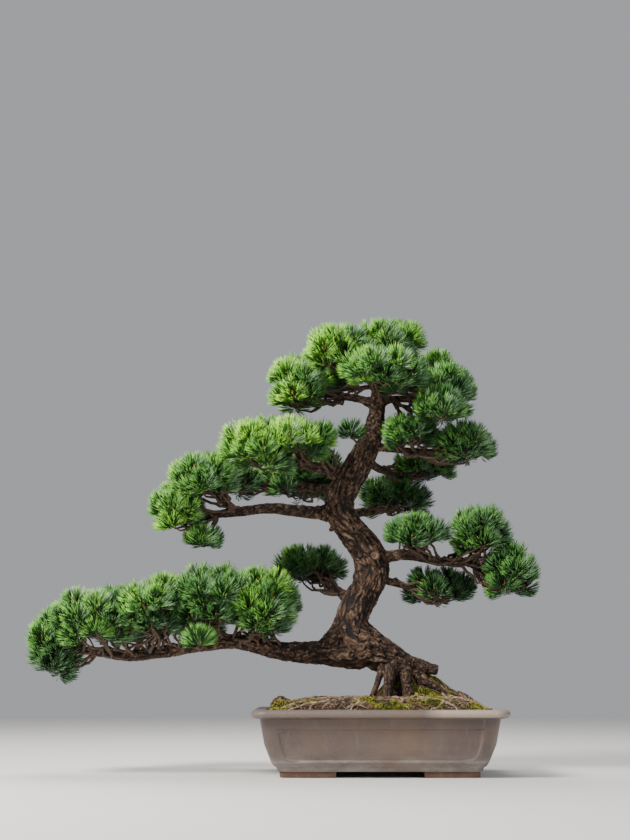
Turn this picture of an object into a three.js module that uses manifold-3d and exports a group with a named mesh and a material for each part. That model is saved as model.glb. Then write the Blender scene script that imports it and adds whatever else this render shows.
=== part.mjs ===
// A japanese white pine grown as a bonsai in a shallow glazed pot, in millimetres with +Z up.
// Places are measured from the pot's middle on the surface it stands on: +X right, +Y away.
// The last lines move the whole tree so that the middle of its footprint is the origin.

import * as THREE from 'three';
import { mergeVertices } from 'three/addons/utils/BufferGeometryUtils.js';
import Module from 'manifold-3d';

const wasm = await Module();
wasm.setup();

// Air left between two pieces that touch on the real tree
const gap = 0.33;

// Pot: outer walls as [height, how far the wall lies inside the lip's edge], from the underside up
const pot = {
  halfWidth: 260,
  halfDepth: 196,
  cornerRadius: 42,
  cornerTightening: 0.4,
  tightestCorner: 12,
  outerWall: [
    [12, 53], [20, 50], [22, 46], [36, 37.5], [42, 35.2], [66, 26.5], [92, 21.8], [97, 21.2],
    [116, 18], [120, 4], [127, 0], [134, 3], [136, 10], [136, 25],
  ],
  innerWall: [[132, 31], [100, 38], [60, 46], [26, 74]],
  panel: { from: 40, to: 95, sink: 3, slope: 3, fromCorner: 2 },
  foot: { height: 12, inset: 57, width: 26, openHalfWidth: 88, openHalfDepth: 56, sunk: 4 },
  drain: { radius: 16, apart: 120, sides: 16, cutMiddle: 20, cutHeight: 60 },
  cornerSteps: 3,
};

// Soil: a flat-topped bed that rises steeply from the wall, with hills behind the trunk and at the left end
const soil = {
  edgeHeight: 129,
  edgeInset: 33,
  crest: { x: 35, y: 0, z: 157 },
  steepness: 6,
  rings: [0.95, 0.84, 0.6],
  hills: [
    { x: 80, y: 32, z: 120, halfWidth: 95, halfDepth: 74, halfHeight: 86, around: 12, levels: 6 },
    { x: 104, y: 20, z: 118, halfWidth: 118, halfDepth: 92, halfHeight: 62, around: 11, levels: 5 },
    { x: -203, y: -40, z: 118, halfWidth: 21, halfDepth: 108, halfHeight: 39, around: 8, levels: 4 },
  ],
};

// Moss: thin patches on the soil, each [name, x, y, half width, half depth]
const moss = {
  thickness: 5,
  sides: 14,
  depth: 60,
  patches: [
    ['moss_left', -185, -95, 44, 30],
    ['moss_middle', -10, -105, 46, 27],
    ['moss_right', 108, -62, 62, 40],
  ],
};

// Trunk: centre line as [x, y, z, radius] from the root flare to the tip, and its legs of root
const ground = { cut: 150, blockWidth: 800, blockHeight: 200 };
const trunk = {
  line: [
    [100, 24, 138, 30], [80, 14, 196, 28], [40, 2, 226, 31], [-4, 0, 251, 37], [-42, 0, 281, 39],
    [-54, 2, 314, 35], [-40, 5, 350, 33.5], [-21, 8, 386, 35], [-8, 10, 420, 38], [-14, 10, 450, 36],
    [-34, 8, 484, 32], [-60, 5, 516, 31], [-77, 2, 546, 31], [-79, 0, 574, 31], [-66, -2, 601, 30],
    [-34, -6, 655, 29], [-12, -10, 700, 25], [0, -12, 741, 19.5], [5, -13, 790, 15.5],
    [1, -14, 840, 12.5], [-4, -14, 880, 9], [4, -14, 905, 5],
  ],
  sides: 10,
  steps: 36,
  gnarl: 0.075,
  roots: [
    [[36, -12, 232, 15], [27, -34, 212, 12.5], [21, -50, 184, 10.5], [20, -62, 138, 13]],
    [[14, -14, 236, 11], [5, -32, 206, 7.5], [-4, -44, 180, 6], [-21, -54, 138, 7]],
    [[58, -6, 228, 19], [58, -22, 206, 14], [61, -36, 180, 11.5], [66, -46, 138, 12]],
    [[62, 4, 224, 22], [84, 4, 222, 17], [108, 2, 218, 13], [128, 0, 213, 11]],
    [[80, -4, 206, 16], [100, -18, 190, 10], [126, -30, 176, 7.5], [152, -40, 138, 7]],
    [[30, 14, 240, 20], [36, 38, 214, 15], [40, 58, 186, 13], [42, 74, 138, 15]],
    [[-50, 4, 350, 24], [-66, 1, 316, 24], [-90, -3, 276, 23], [-122, -8, 250, 21]],
    [[72, 14, 214, 20], [98, 34, 196, 13], [124, 48, 176, 10], [150, 60, 138, 10]],
  ],
  rootSides: 6,
  rootSteps: 4,
};

// Boughs: [name, the limb it grows from, points as for the trunk]; the first point is inside that limb
const boughs = [
  ['bough_low_left', 'trunk', [
    [-22, 0, 262, 30], [-70, -6, 246, 27], [-120, -10, 249, 24], [-167, -15, 251, 21.5],
    [-211, -20, 255, 19], [-257, -25, 266, 16.5], [-303, -25, 273, 15.5], [-372, -20, 264, 14],
    [-457, -15, 250, 13], [-531, -10, 243, 11.5], [-588, -10, 251, 9.5], [-660, -10, 262, 6]]],
  ['bough_low_back', 'bough_low_left', [
    [-318, -24, 270, 9], [-352, 32, 284, 9], [-418, 88, 297, 8], [-520, 108, 303, 5]]],
  ['bough_middle_lower', 'trunk', [
    [-78, 0, 547, 15], [-112, -2, 545, 14], [-163, -5, 549, 13], [-227, -10, 555, 12],
    [-291, -15, 547, 10.5], [-344, -15, 540, 9], [-412, -16, 527, 6]]],
  ['bough_middle_fork', 'bough_middle_lower', [
    [-298, -15, 547, 8], [-316, -20, 563, 8], [-335, -26, 581, 7], [-356, -36, 594, 5]]],
  ['bough_middle_upper', 'trunk', [
    [-60, -2, 622, 13], [-92, -6, 633, 12], [-131, -15, 643, 11], [-184, -25, 650, 10],
    [-227, -34, 652, 8.5], [-262, -46, 660, 6]]],
  ['bough_middle_back', 'trunk', [
    [-78, 4, 588, 13], [-112, 58, 604, 11], [-190, 108, 616, 9], [-290, 112, 614, 5.5]]],
  ['bough_right', 'trunk', [
    [-8, 6, 446, 14], [22, 5, 452, 12.5], [60, 0, 457, 11.5], [101, 0, 449, 10], [144, 0, 441, 9],
    [186, -5, 442, 8], [214, -8, 427, 7], [236, -12, 412, 5.5]]],
  ['bough_right_low', 'trunk', [
    [-4, 8, 412, 10], [28, 12, 400, 8], [92, 20, 383, 6.5], [126, 26, 372, 5]]],
  ['bough_right_upper', 'trunk', [
    [-14, -8, 690, 10], [14, -4, 686, 8.5], [67, 0, 680, 7.5], [126, -6, 677, 6.5], [158, -12, 680, 5]]],
  ['bough_right_upper_back', 'trunk', [
    [-24, -4, 668, 10], [8, 54, 648, 8.5], [70, 106, 640, 6]]],
  ['bough_low_behind', 'trunk', [
    [-46, 6, 338, 13], [-72, 64, 376, 11], [-112, 118, 404, 7.5]]],
  ['bough_middle_behind', 'trunk', [
    [-66, 4, 534, 12], [-36, 64, 552, 10], [18, 118, 564, 7]]],
  ['bough_crown_left', 'trunk', [
    [4, -13, 776, 10], [-20, -16, 785, 9], [-85, -22, 797, 8], [-141, -28, 797, 6]]],
  ['bough_crown_right', 'trunk', [
    [4, -13, 782, 9], [34, -14, 790, 8], [84, -18, 790, 7], [130, -20, 794, 5]]],
  ['bough_crown_front', 'trunk', [
    [4, -13, 800, 8], [10, -54, 804, 7], [14, -108, 808, 5]]],
  ['bough_crown_back', 'trunk', [
    [3, -13, 812, 9], [5, 38, 832, 7.5], [8, 98, 864, 5]]],
  ['bough_crown_back_left', 'bough_crown_back', [
    [4, 22, 826, 6], [-30, 62, 828, 6], [-90, 106, 832, 4.5]]],
  ['bough_crown_back_right', 'bough_crown_back', [
    [5, 34, 832, 6], [40, 68, 830, 6], [92, 104, 830, 4.5]]],
];
const boughShape = { sides: 6, stepLength: 36, gnarl: 0.05, fewestSteps: 3 };

// Ridges that wind along every limb: the share of each, how many round it, and its turn at each step
const ridges = [
  { share: 0.6, around: 3, turn: 0.55 },
  { share: 0.4, around: 5, turn: -0.8 },
];

// Masses of needles: [name, limb, place of the stem along it, centre, half sizes]
const masses = [
  ['low_left_tip', 'bough_low_left', 0.99, [-678, -15, 265], [66, 84, 97]],
  ['low_left_outer', 'bough_low_left', 0.86, [-587, -72, 319], [97, 84, 73]],
  ['low_left_middle', 'bough_low_left', 0.7, [-462, -84, 342], [101, 86, 76]],
  ['low_left_inner', 'bough_low_left', 0.5, [-341, -84, 361], [104, 88, 86]],
  ['low_left_heel', 'bough_low_left', 0.36, [-237, -84, 345], [80, 86, 86]],
  ['low_left_front', 'bough_low_left', 0.54, [-368, -148, 275], [45, 50, 35]],
  ['low_left_back_outer', 'bough_low_back', 0.97, [-560, 104, 330], [100, 86, 74]],
  ['low_left_back_middle', 'bough_low_back', 0.5, [-400, 110, 346], [104, 92, 86]],
  ['low_left_back_heel', 'bough_low_left', 0.4, [-250, 110, 353], [92, 84, 64]],
  ['middle_left_tip', 'bough_middle_lower', 0.98, [-422, -45, 551], [64, 86, 67]],
  ['middle_left_shoulder', 'bough_middle_fork', 0.97, [-364, -76, 612], [84, 88, 60]],
  ['middle_left_crest', 'bough_middle_upper', 0.96, [-242, -86, 674], [103, 90, 73]],
  ['middle_left_heel', 'bough_middle_upper', 0.42, [-160, -90, 693], [80, 84, 54]],
  ['middle_left_hanging', 'bough_middle_lower', 0.78, [-366, -50, 488], [46, 60, 37]],
  ['middle_left_back_tip', 'bough_middle_back', 0.97, [-331, 112, 635], [92, 90, 58]],
  ['middle_left_back_heel', 'bough_middle_back', 0.5, [-154, 124, 640], [108, 90, 76]],
  ['crown_left', 'bough_crown_left', 0.95, [-170, -44, 810], [68, 90, 73]],
  ['crown_top_left', 'trunk', 0.93, [-79, -60, 887], [84, 88, 62]],
  ['crown_top', 'trunk', 0.995, [26, -20, 914], [88, 90, 56]],
  ['crown_front', 'bough_crown_front', 0.95, [14, -136, 830], [100, 82, 60]],
  ['crown_right', 'bough_crown_right', 0.97, [150, -34, 797], [68, 90, 78]],
  ['crown_right_front', 'bough_crown_right', 0.62, [130, -120, 756], [60, 74, 52]],
  ['crown_back_left', 'bough_crown_back_left', 0.96, [-126, 116, 865], [92, 88, 68]],
  ['crown_back', 'bough_crown_back', 0.97, [9, 126, 914], [86, 88, 56]],
  ['crown_back_right', 'bough_crown_back_right', 0.96, [128, 118, 860], [82, 88, 70]],
  ['right_upper_inner', 'bough_right_upper', 0.5, [74, -44, 712], [66, 78, 48]],
  ['right_upper_tip', 'bough_right_upper', 0.97, [190, -30, 692], [74, 80, 54]],
  ['right_upper_behind', 'bough_right_upper_back', 0.96, [108, 124, 659], [83, 80, 44]],
  ['right_inner', 'bough_right', 0.42, [86, -50, 498], [76, 82, 48]],
  ['right_crest', 'bough_right', 0.72, [221, -24, 503], [71, 86, 64]],
  ['right_tip', 'bough_right', 0.97, [281, -30, 414], [63, 86, 74]],
  ['right_hanging', 'bough_right_low', 0.97, [134, 40, 386], [84, 72, 55]],
  ['low_behind', 'bough_low_behind', 0.95, [-138, 140, 441], [93, 86, 54]],
  ['middle_behind', 'bough_middle_behind', 0.95, [47, 140, 593], [93, 86, 56]],
  ['little_by_trunk', 'trunk', 0.74, [-54, -84, 711], [34, 36, 30]],
];

// Growth rule shared by all masses
const growth = {
  seed: 20,
  mostTufts: 7,
  candidates: 80,
  spacing: 44,
  farApart: 108,
  outlineMargin: 33,
  leastRoom: 7,
  lowestPlace: -0.6,
  innerShare: 0.35,
  stemRadius: 3.6,
  stemTaper: 0.8,
  twigSides: 3,
  hubRadius: 4.6,
  hubDrop: 0.5,
  forkShare: 0.4,
  hubPull: 0.3,
  budRadius: 12,
  budAir: 1,
  tailShare: 0.99,
  needleLength: 43,
  lengthVaries: 0.1,
  shortening: 0.9,
  shortestNeedle: 17,
  needleRoot: 0.8,
  needleLean: 0.25,
  lift: 0.45,
  barestFacing: 0,
  squareness: 2.6,
  limbClearance: 1.2,
  tuftClearance: 13,
  cellMargin: 0.4,
};

// Plain colours of the pieces
const finishes = {
  glaze: { color: 0x7a6c64, roughness: 0.4 },
  earth: { color: 0x4a3b2c, roughness: 0.95 },
  moss: { color: 0x77802f, roughness: 0.95 },
  bark: { color: 0x5b4536, roughness: 0.9 },
  needles: { color: 0x4f7a45, roughness: 0.6 },
};

// A seeded run of numbers from 0 to 1
function randomRun(seed) {
  let state = seed >>> 0;
  return () => {
    state = (state + 0x6d2b79f5) >>> 0;
    let mixed = Math.imul(state ^ (state >>> 15), 1 | state);
    mixed = (mixed + Math.imul(mixed ^ (mixed >>> 7), 61 | mixed)) ^ mixed;
    return ((mixed ^ (mixed >>> 14)) >>> 0) / 4294967296;
  };
}

const point = (values) => new THREE.Vector3(values[0], values[1], values[2]);

// A closed geometry as a solid that can be joined and cut
function solidOf(geometry) {
  const bare = geometry.clone();
  bare.deleteAttribute('normal');
  bare.deleteAttribute('uv');
  const merged = mergeVertices(bare, 1e-4);
  return new wasm.Manifold(new wasm.Mesh({
    numProp: 3,
    vertProperties: new Float32Array(merged.attributes.position.array),
    triVerts: new Uint32Array(merged.index.array),
  }));
}

function geometryOf(solid) {
  const mesh = solid.getMesh();
  const geometry = new THREE.BufferGeometry();
  geometry.setAttribute('position', new THREE.BufferAttribute(new Float32Array(mesh.vertProperties), 3));
  geometry.setIndex(new THREE.BufferAttribute(new Uint32Array(mesh.triVerts), 1));
  geometry.computeVertexNormals();
  return geometry;
}

// The biggest body of a solid, without loose scraps
function mainBody(solid) {
  const bodies = solid.decompose();
  return bodies.reduce((best, body) => (body.volume() > best.volume() ? body : best));
}

function box(width, depth, height, x, y, z) {
  return solidOf(new THREE.BoxGeometry(width, depth, height).translate(x, y, z));
}

// A skin over rings of equally many points, closed at both ends by a fan
function loft(rings) {
  const count = rings[0].length;
  const corners = rings.flat();
  const faces = [];
  for (let r = 0; r < rings.length - 1; r += 1) {
    for (let i = 0; i < count; i += 1) {
      const next = (i + 1) % count;
      const low = r * count;
      const high = low + count;
      faces.push(low + i, low + next, high + next, low + i, high + next, high + i);
    }
  }
  const closeEnd = (ring, start, up) => {
    const middle = ring.reduce((sum, p) => sum.add(p), new THREE.Vector3()).divideScalar(count);
    const hub = corners.push(middle) - 1;
    for (let i = 0; i < count; i += 1) {
      const next = (i + 1) % count;
      faces.push(hub, start + (up ? i : next), start + (up ? next : i));
    }
  };
  closeEnd(rings[0], 0, false);
  closeEnd(rings[rings.length - 1], (rings.length - 1) * count, true);
  const geometry = new THREE.BufferGeometry().setFromPoints(corners);
  geometry.setIndex(faces);
  return geometry;
}

// The pot's corners tighten where its wall lies further in
function cornerRadiusAt(inset) {
  return Math.max(pot.cornerRadius - pot.cornerTightening * inset, pot.tightestCorner);
}

// One level of the pot: a rectangle with round corners
function roundedRing(height, inset) {
  const radius = cornerRadiusAt(inset);
  const ring = [];
  for (let side = 0; side < 4; side += 1) {
    const signX = side === 0 || side === 3 ? 1 : -1;
    const signY = side < 2 ? 1 : -1;
    for (let i = 0; i <= pot.cornerSteps; i += 1) {
      const angle = (side + i / pot.cornerSteps) * Math.PI / 2;
      const x = signX * (pot.halfWidth - inset - radius) + radius * Math.cos(angle);
      const y = signY * (pot.halfDepth - inset - radius) + radius * Math.sin(angle);
      ring.push(new THREE.Vector3(x, y, height));
    }
  }
  return ring;
}

// The same level with a panel on each straight side, sunk by an amount
function panelRing(height, inset, sink) {
  const { slope, fromCorner } = pot.panel;
  const steps = pot.cornerSteps + 1;
  const corners = roundedRing(height, inset);
  const ring = [];
  for (let side = 0; side < 4; side += 1) {
    const turn = side * Math.PI / 2;
    const [reach, across] = side % 2 === 0 ? [pot.halfWidth, pot.halfDepth] : [pot.halfDepth, pot.halfWidth];
    const along = across - inset - cornerRadiusAt(inset) - fromCorner;
    for (const [shift, sunk] of [[-along, 0], [-along + slope, sink], [along - slope, sink], [along, 0]]) {
      const x = Math.cos(turn) * (reach - inset - sunk) - Math.sin(turn) * shift;
      const y = Math.sin(turn) * (reach - inset - sunk) + Math.cos(turn) * shift;
      ring.push(new THREE.Vector3(x, y, height));
    }
    ring.push(...corners.slice(side * steps, (side + 1) * steps));
  }
  return ring;
}

function potSolid() {
  const { panel, foot, drain } = pot;
  const outer = pot.outerWall.map(([height, inset]) => {
    const inPanel = height > panel.from && height < panel.to;
    return panelRing(height, inset, inPanel ? panel.sink : 0);
  });
  const inner = pot.innerWall.map(([height, inset]) => panelRing(height, inset, 0));
  const top = foot.height + foot.sunk;
  const footBand = solidOf(loft([roundedRing(0, foot.inset), roundedRing(top, foot.inset)]));
  const hollow = foot.inset + foot.width;
  const footHole = solidOf(loft([roundedRing(-1, hollow), roundedRing(top + 1, hollow)]));
  const feet = footBand.subtract(footHole)
    .subtract(box(2 * foot.openHalfWidth, 2 * pot.halfDepth, 3 * top, 0, 0, top / 2))
    .subtract(box(2 * pot.halfWidth, 2 * foot.openHalfDepth, 3 * top, 0, 0, top / 2));
  let body = solidOf(loft([...outer, ...inner])).add(feet);
  for (const x of [-drain.apart, drain.apart]) {
    const hole = new THREE.CylinderGeometry(drain.radius, drain.radius, drain.cutHeight, drain.sides);
    body = body.subtract(solidOf(hole.rotateX(Math.PI / 2).translate(x, 0, drain.cutMiddle)));
  }
  return body;
}

// The soil with its surface raised by an amount, clear of the pot's inner wall
function soilSolid(raise) {
  const edge = roundedRing(soil.edgeHeight + raise, soil.edgeInset + gap);
  const [floorHeight, floorInset] = pot.innerWall[pot.innerWall.length - 1];
  const walls = pot.innerWall.slice(1, -1).map(([height, inset]) => roundedRing(height, inset + gap));
  walls.push(roundedRing(floorHeight + gap, floorInset + gap));
  const surface = soil.rings.map((share) => edge.map((corner) => {
    const rise = (soil.crest.z - soil.edgeHeight) * (1 - share ** soil.steepness);
    const x = soil.crest.x + (corner.x - soil.crest.x) * share;
    const y = soil.crest.y + (corner.y - soil.crest.y) * share;
    return new THREE.Vector3(x, y, corner.z + rise);
  }));
  const bed = solidOf(loft([...walls.reverse(), edge, ...surface]));
  return soil.hills.reduce((whole, hill) => {
    const dome = new THREE.SphereGeometry(1, hill.around, hill.levels).rotateX(Math.PI / 2)
      .scale(hill.halfWidth + raise, hill.halfDepth + raise, hill.halfHeight + raise)
      .translate(hill.x, hill.y, hill.z);
    return whole.add(solidOf(dome));
  }, bed);
}

// The centre line of a limb, its radius and its frame at equal steps along it
function limbLine(points, steps) {
  const curve = new THREE.CatmullRomCurve3(points.map(point), false, 'centripetal');
  const frames = curve.computeFrenetFrames(steps, false);
  const stations = [];
  for (let i = 0; i <= steps; i += 1) {
    const place = curve.getUtoTmapping(i / steps) * (points.length - 1);
    const before = Math.min(Math.floor(place), points.length - 2);
    const radius = THREE.MathUtils.lerp(points[before][3], points[before + 1][3], place - before);
    stations.push({
      centre: curve.getPointAt(i / steps),
      radius,
      side: frames.binormals[i],
      front: frames.normals[i],
      ahead: frames.tangents[i],
    });
  }
  return stations;
}

// A round bar bent along a limb's line, with low ridges that wind along it
function limbSolid(stations, sides, gnarl, grow) {
  const steps = stations.length - 1;
  const bar = new THREE.CylinderGeometry(1, 1, 1, sides, steps);
  const place = bar.attributes.position;
  for (let i = 0; i < place.count; i += 1) {
    const along = Math.round((place.getY(i) + 0.5) * steps);
    const { centre, radius, side, front, ahead } = stations[along];
    const angle = Math.atan2(place.getX(i), place.getZ(i));
    const wave = ridges.reduce((sum, ridge) => (
      sum + ridge.share * Math.sin(ridge.around * angle + ridge.turn * along)), 0);
    const reach = Math.hypot(place.getX(i), place.getZ(i)) * (radius * (1 + gnarl * wave) + grow);
    const spot = centre.clone()
      .addScaledVector(side, Math.sin(angle) * reach)
      .addScaledVector(front, Math.cos(angle) * reach);
    if (along === steps) spot.addScaledVector(ahead, grow);
    place.setXYZ(i, spot.x, spot.y, spot.z);
  }
  return solidOf(bar);
}

// Trunk with its legs of root, cut flat at ground level; grown by an amount to cut its neighbours clear
const trunkLine = limbLine(trunk.line, trunk.steps);
const rootLines = trunk.roots.map((points) => limbLine(points, trunk.rootSteps));

function trunkSolid(grow) {
  let body = limbSolid(trunkLine, trunk.sides, trunk.gnarl, grow);
  for (const line of rootLines) {
    body = body.add(limbSolid(line, trunk.rootSides, 0, grow));
  }
  const { cut, blockWidth, blockHeight } = ground;
  const middle = cut - grow - blockHeight / 2;
  return mainBody(body.subtract(box(blockWidth, blockWidth, blockHeight, 0, 0, middle)));
}

// Each limb by name: its line, its solid, and the same solid grown by the gap
const limbs = new Map();
limbs.set('trunk', { line: trunkLine, solid: trunkSolid(0), grown: trunkSolid(gap) });
for (const [name, parent, points] of boughs) {
  const length = new THREE.CatmullRomCurve3(points.map(point)).getLength();
  const steps = Math.max(boughShape.fewestSteps, Math.round(length / boughShape.stepLength));
  const line = limbLine(points, steps);
  const grownParents = limbs.get('trunk').grown.add(limbs.get(parent).grown);
  const bar = limbSolid(line, boughShape.sides, boughShape.gnarl, 0);
  limbs.set(name, {
    line,
    solid: mainBody(bar.subtract(grownParents)),
    grown: limbSolid(line, boughShape.sides, boughShape.gnarl, gap),
  });
}
let allLimbsGrown = limbs.get('trunk').grown;
for (const { grown } of limbs.values()) {
  allLimbsGrown = allLimbsGrown.add(grown);
}
const limbStations = [...limbs.values()].flatMap(({ line }) => line)
  .concat(rootLines.flat());

// The least air between a straight twig or needle and every limb
function airToLimbs(from, to) {
  const run = new THREE.Line3(from, to);
  const nearest = new THREE.Vector3();
  let least = Infinity;
  for (let i = 0; i < limbStations.length; i += 1) {
    const { centre, radius } = limbStations[i];
    run.closestPointToPoint(centre, true, nearest);
    least = Math.min(least, nearest.distanceTo(centre) - radius);
  }
  return least;
}

// The space of each mass: a squarish ellipsoid, less what lies past the planes shared with neighbours
const spaces = masses.map(([name, limb, along, centre, half]) => ({
  name, limb, along, centre: point(centre), half: point(half), walls: [],
}));

function reachTowards(space, direction) {
  return Math.hypot(direction.x * space.half.x, direction.y * space.half.y, direction.z * space.half.z);
}
for (const space of spaces) {
  for (const other of spaces) {
    if (other === space) continue;
    const away = other.centre.clone().sub(space.centre);
    const apart = away.length();
    away.normalize();
    const own = reachTowards(space, away);
    const both = own + reachTowards(other, away);
    if (apart > both) continue;
    const shared = space.centre.clone().addScaledVector(away, apart * own / both - growth.cellMargin);
    space.walls.push(new THREE.Plane().setFromNormalAndCoplanarPoint(away, shared));
  }
}

function inSpace(space, spot, margin) {
  const away = spot.clone().sub(space.centre).divide(space.half);
  const share = away.toArray().reduce((sum, part) => sum + Math.abs(part) ** growth.squareness, 0);
  return share <= 1 && space.walls.every((wall) => wall.distanceToPoint(spot) < -margin);
}

// A straight tapering twig
function twigSolid(from, to, radiusFrom, radiusTo) {
  const length = from.distanceTo(to);
  const bar = new THREE.CylinderGeometry(radiusTo, radiusFrom, length, growth.twigSides)
    .translate(0, length / 2, 0);
  const turn = new THREE.Quaternion().setFromUnitVectors(
    new THREE.Vector3(0, 1, 0), to.clone().sub(from).normalize());
  return solidOf(bar.applyQuaternion(turn).translate(from.x, from.y, from.z));
}

// A tuft: a bud whose tail is the twig back to its fork, and whose outer faces are each drawn out
// into a needle that stays nearer to this bud than to any other and inside the space
function tuftSolid(space, spots, spot, fork, random) {
  const bud = new THREE.IcosahedronGeometry(growth.budRadius, 0);
  const place = bud.attributes.position;
  const tail = new THREE.Vector3().fromBufferAttribute(place, 0).normalize();
  const back = fork.clone().sub(spot).normalize();
  bud.applyQuaternion(new THREE.Quaternion().setFromUnitVectors(tail, back));
  bud.applyQuaternion(new THREE.Quaternion().setFromAxisAngle(back, random() * Math.PI * 2));
  const lean = back.clone().negate().add(new THREE.Vector3(0, 0, growth.lift)).normalize();
  const corners = [];
  for (let i = 0; i < place.count; i += 3) {
    const face = [0, 1, 2].map((k) => new THREE.Vector3().fromBufferAttribute(place, i + k));
    const out = face[0].clone().add(face[1]).add(face[2]).normalize();
    const facing = out.dot(lean);
    const ofTail = (corner) => corner.dot(back) > growth.budRadius * growth.tailShare;
    const isTail = face.some(ofTail);
    const [a, b, c] = face.map((corner) => (ofTail(corner) ? fork.clone() : corner.add(spot)));
    const root = spot.clone().addScaledVector(out, growth.budRadius * growth.needleRoot);
    const tip = new THREE.Vector3();
    out.addScaledVector(lean, growth.needleLean).normalize();
    let length = growth.needleLength * (1 + growth.lengthVaries * (2 * random() - 1));
    const fits = () => {
      tip.copy(spot).addScaledVector(out, length);
      const nearestIsOwn = spots.every((other) => other === spot
        || other.distanceTo(tip) > spot.distanceTo(tip) + growth.cellMargin);
      return nearestIsOwn && inSpace(space, tip, 0) && airToLimbs(root, tip) > growth.limbClearance;
    };
    const bare = isTail || facing < growth.barestFacing;
    while (!bare && length > growth.shortestNeedle && !fits()) {
      length *= growth.shortening;
    }
    if (bare || length <= growth.shortestNeedle) {
      corners.push(a, b, c);
    } else {
      corners.push(a, b, tip, b, c, tip, c, a, tip);
    }
  }
  return solidOf(new THREE.BufferGeometry().setFromPoints(corners));
}

// Tufts spread through the outer and upper part of the space, each as far from the others as it can be
function tuftSpots(space, random) {
  const spots = [];
  const roomy = space.half.clone().subScalar(growth.outlineMargin)
    .max(new THREE.Vector3().setScalar(growth.leastRoom));
  const airAround = (spot) => Math.min(growth.farApart, ...spots.map((other) => other.distanceTo(spot)));
  while (spots.length < growth.mostTufts) {
    let best = null;
    for (let i = 0; i < growth.candidates; i += 1) {
      const height = THREE.MathUtils.lerp(growth.lowestPlace, 1, random());
      const angle = 2 * Math.PI * random();
      const flat = Math.sqrt(1 - height * height);
      const share = THREE.MathUtils.lerp(growth.innerShare, 1, Math.sqrt(random()));
      const away = new THREE.Vector3(flat * Math.cos(angle), flat * Math.sin(angle), height);
      const spot = away.multiply(roomy).multiplyScalar(share).add(space.centre);
      const fits = inSpace(space, spot, growth.budRadius + growth.budAir)
        && airToLimbs(spot, spot) > growth.tuftClearance;
      if (fits && (best === null || airAround(spot) > airAround(best))) best = spot;
    }
    if (best === null || airAround(best) < growth.spacing) break;
    spots.push(best);
  }
  return spots;
}

// A mass: one stem to a hub, tufts whose tails branch from the hub or from each other, fused into one
function massSolid(space, seed) {
  const random = randomRun(seed);
  const { line } = limbs.get(space.limb);
  const root = line[Math.round(space.along * (line.length - 1))].centre;
  const hub = space.centre.clone();
  hub.z -= space.half.z * growth.hubDrop;
  const spots = tuftSpots(space, random);
  spots.sort((a, b) => a.distanceTo(hub) - b.distanceTo(hub));
  const knot = new THREE.OctahedronGeometry(growth.hubRadius).translate(hub.x, hub.y, hub.z);
  const stem = twigSolid(root, hub, growth.stemRadius, growth.stemRadius * growth.stemTaper);
  const parts = [stem, solidOf(knot)];
  const forks = [hub];
  for (const spot of spots) {
    const cost = (fork) => fork.distanceTo(spot) + growth.hubPull * fork.distanceTo(hub);
    const reachable = forks.filter((fork) => airToLimbs(fork, spot) > growth.limbClearance);
    if (reachable.length === 0) continue;
    const fork = reachable.reduce((best, next) => (cost(next) < cost(best) ? next : best));
    parts.push(tuftSolid(space, spots, spot, fork, random));
    forks.push(fork.clone().lerp(spot, growth.forkShare));
  }
  return mainBody(wasm.Manifold.union(parts).subtract(allLimbsGrown));
}

// The whole tree
const tree = new THREE.Group();
function addPiece(name, solid, finish) {
  const mesh = new THREE.Mesh(geometryOf(solid), new THREE.MeshStandardMaterial({ ...finish, metalness: 0 }));
  mesh.name = name;
  tree.add(mesh);
}

addPiece('pot', potSolid(), finishes.glaze);
const grownTrunk = limbs.get('trunk').grown;
addPiece('soil', mainBody(soilSolid(0).subtract(grownTrunk)), finishes.earth);
const mossLayer = soilSolid(moss.thickness).subtract(soilSolid(gap)).subtract(grownTrunk);
for (const [name, x, y, halfWidth, halfDepth] of moss.patches) {
  const outline = new THREE.CylinderGeometry(1, 1, moss.depth, moss.sides).rotateX(Math.PI / 2)
    .scale(halfWidth, halfDepth, 1).translate(x, y, soil.crest.z);
  addPiece(name, mainBody(mossLayer.intersect(solidOf(outline))), finishes.moss);
}
for (const [name, { solid }] of limbs) {
  addPiece(name, solid, finishes.bark);
}
spaces.forEach((space, i) => {
  addPiece(`needles_${space.name}`, massSolid(space, growth.seed + i), finishes.needles);
});

// The middle of the footprint becomes the origin
const extent = new THREE.Box3().setFromObject(tree);
const middle = extent.getCenter(new THREE.Vector3());
tree.position.set(-middle.x, -middle.y, -extent.min.z);

export default tree;
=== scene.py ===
# A japanese white pine grown as a bonsai in a shallow glazed pot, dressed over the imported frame
import math

import bmesh
import bpy
import numpy as np
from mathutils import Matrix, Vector


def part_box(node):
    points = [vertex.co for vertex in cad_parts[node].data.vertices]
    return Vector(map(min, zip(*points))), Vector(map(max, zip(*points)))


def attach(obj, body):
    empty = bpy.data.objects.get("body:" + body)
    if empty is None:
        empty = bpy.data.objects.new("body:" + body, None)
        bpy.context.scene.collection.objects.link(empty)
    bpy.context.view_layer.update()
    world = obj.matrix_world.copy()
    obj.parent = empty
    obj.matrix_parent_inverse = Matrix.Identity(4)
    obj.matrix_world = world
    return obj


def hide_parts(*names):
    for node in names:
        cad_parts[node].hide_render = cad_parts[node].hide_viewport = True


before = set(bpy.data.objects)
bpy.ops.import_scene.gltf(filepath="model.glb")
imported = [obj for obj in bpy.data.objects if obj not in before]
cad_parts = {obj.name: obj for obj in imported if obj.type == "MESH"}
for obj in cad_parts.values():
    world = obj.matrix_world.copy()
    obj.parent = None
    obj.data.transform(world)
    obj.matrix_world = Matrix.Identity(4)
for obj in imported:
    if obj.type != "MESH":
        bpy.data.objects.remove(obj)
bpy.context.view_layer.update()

mm = 0.001
potLow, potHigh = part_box("pot")
potMiddle = np.array([(potLow.x + potHigh.x) / 2, (potLow.y + potHigh.y) / 2, 0.0])
scene = bpy.context.scene


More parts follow.
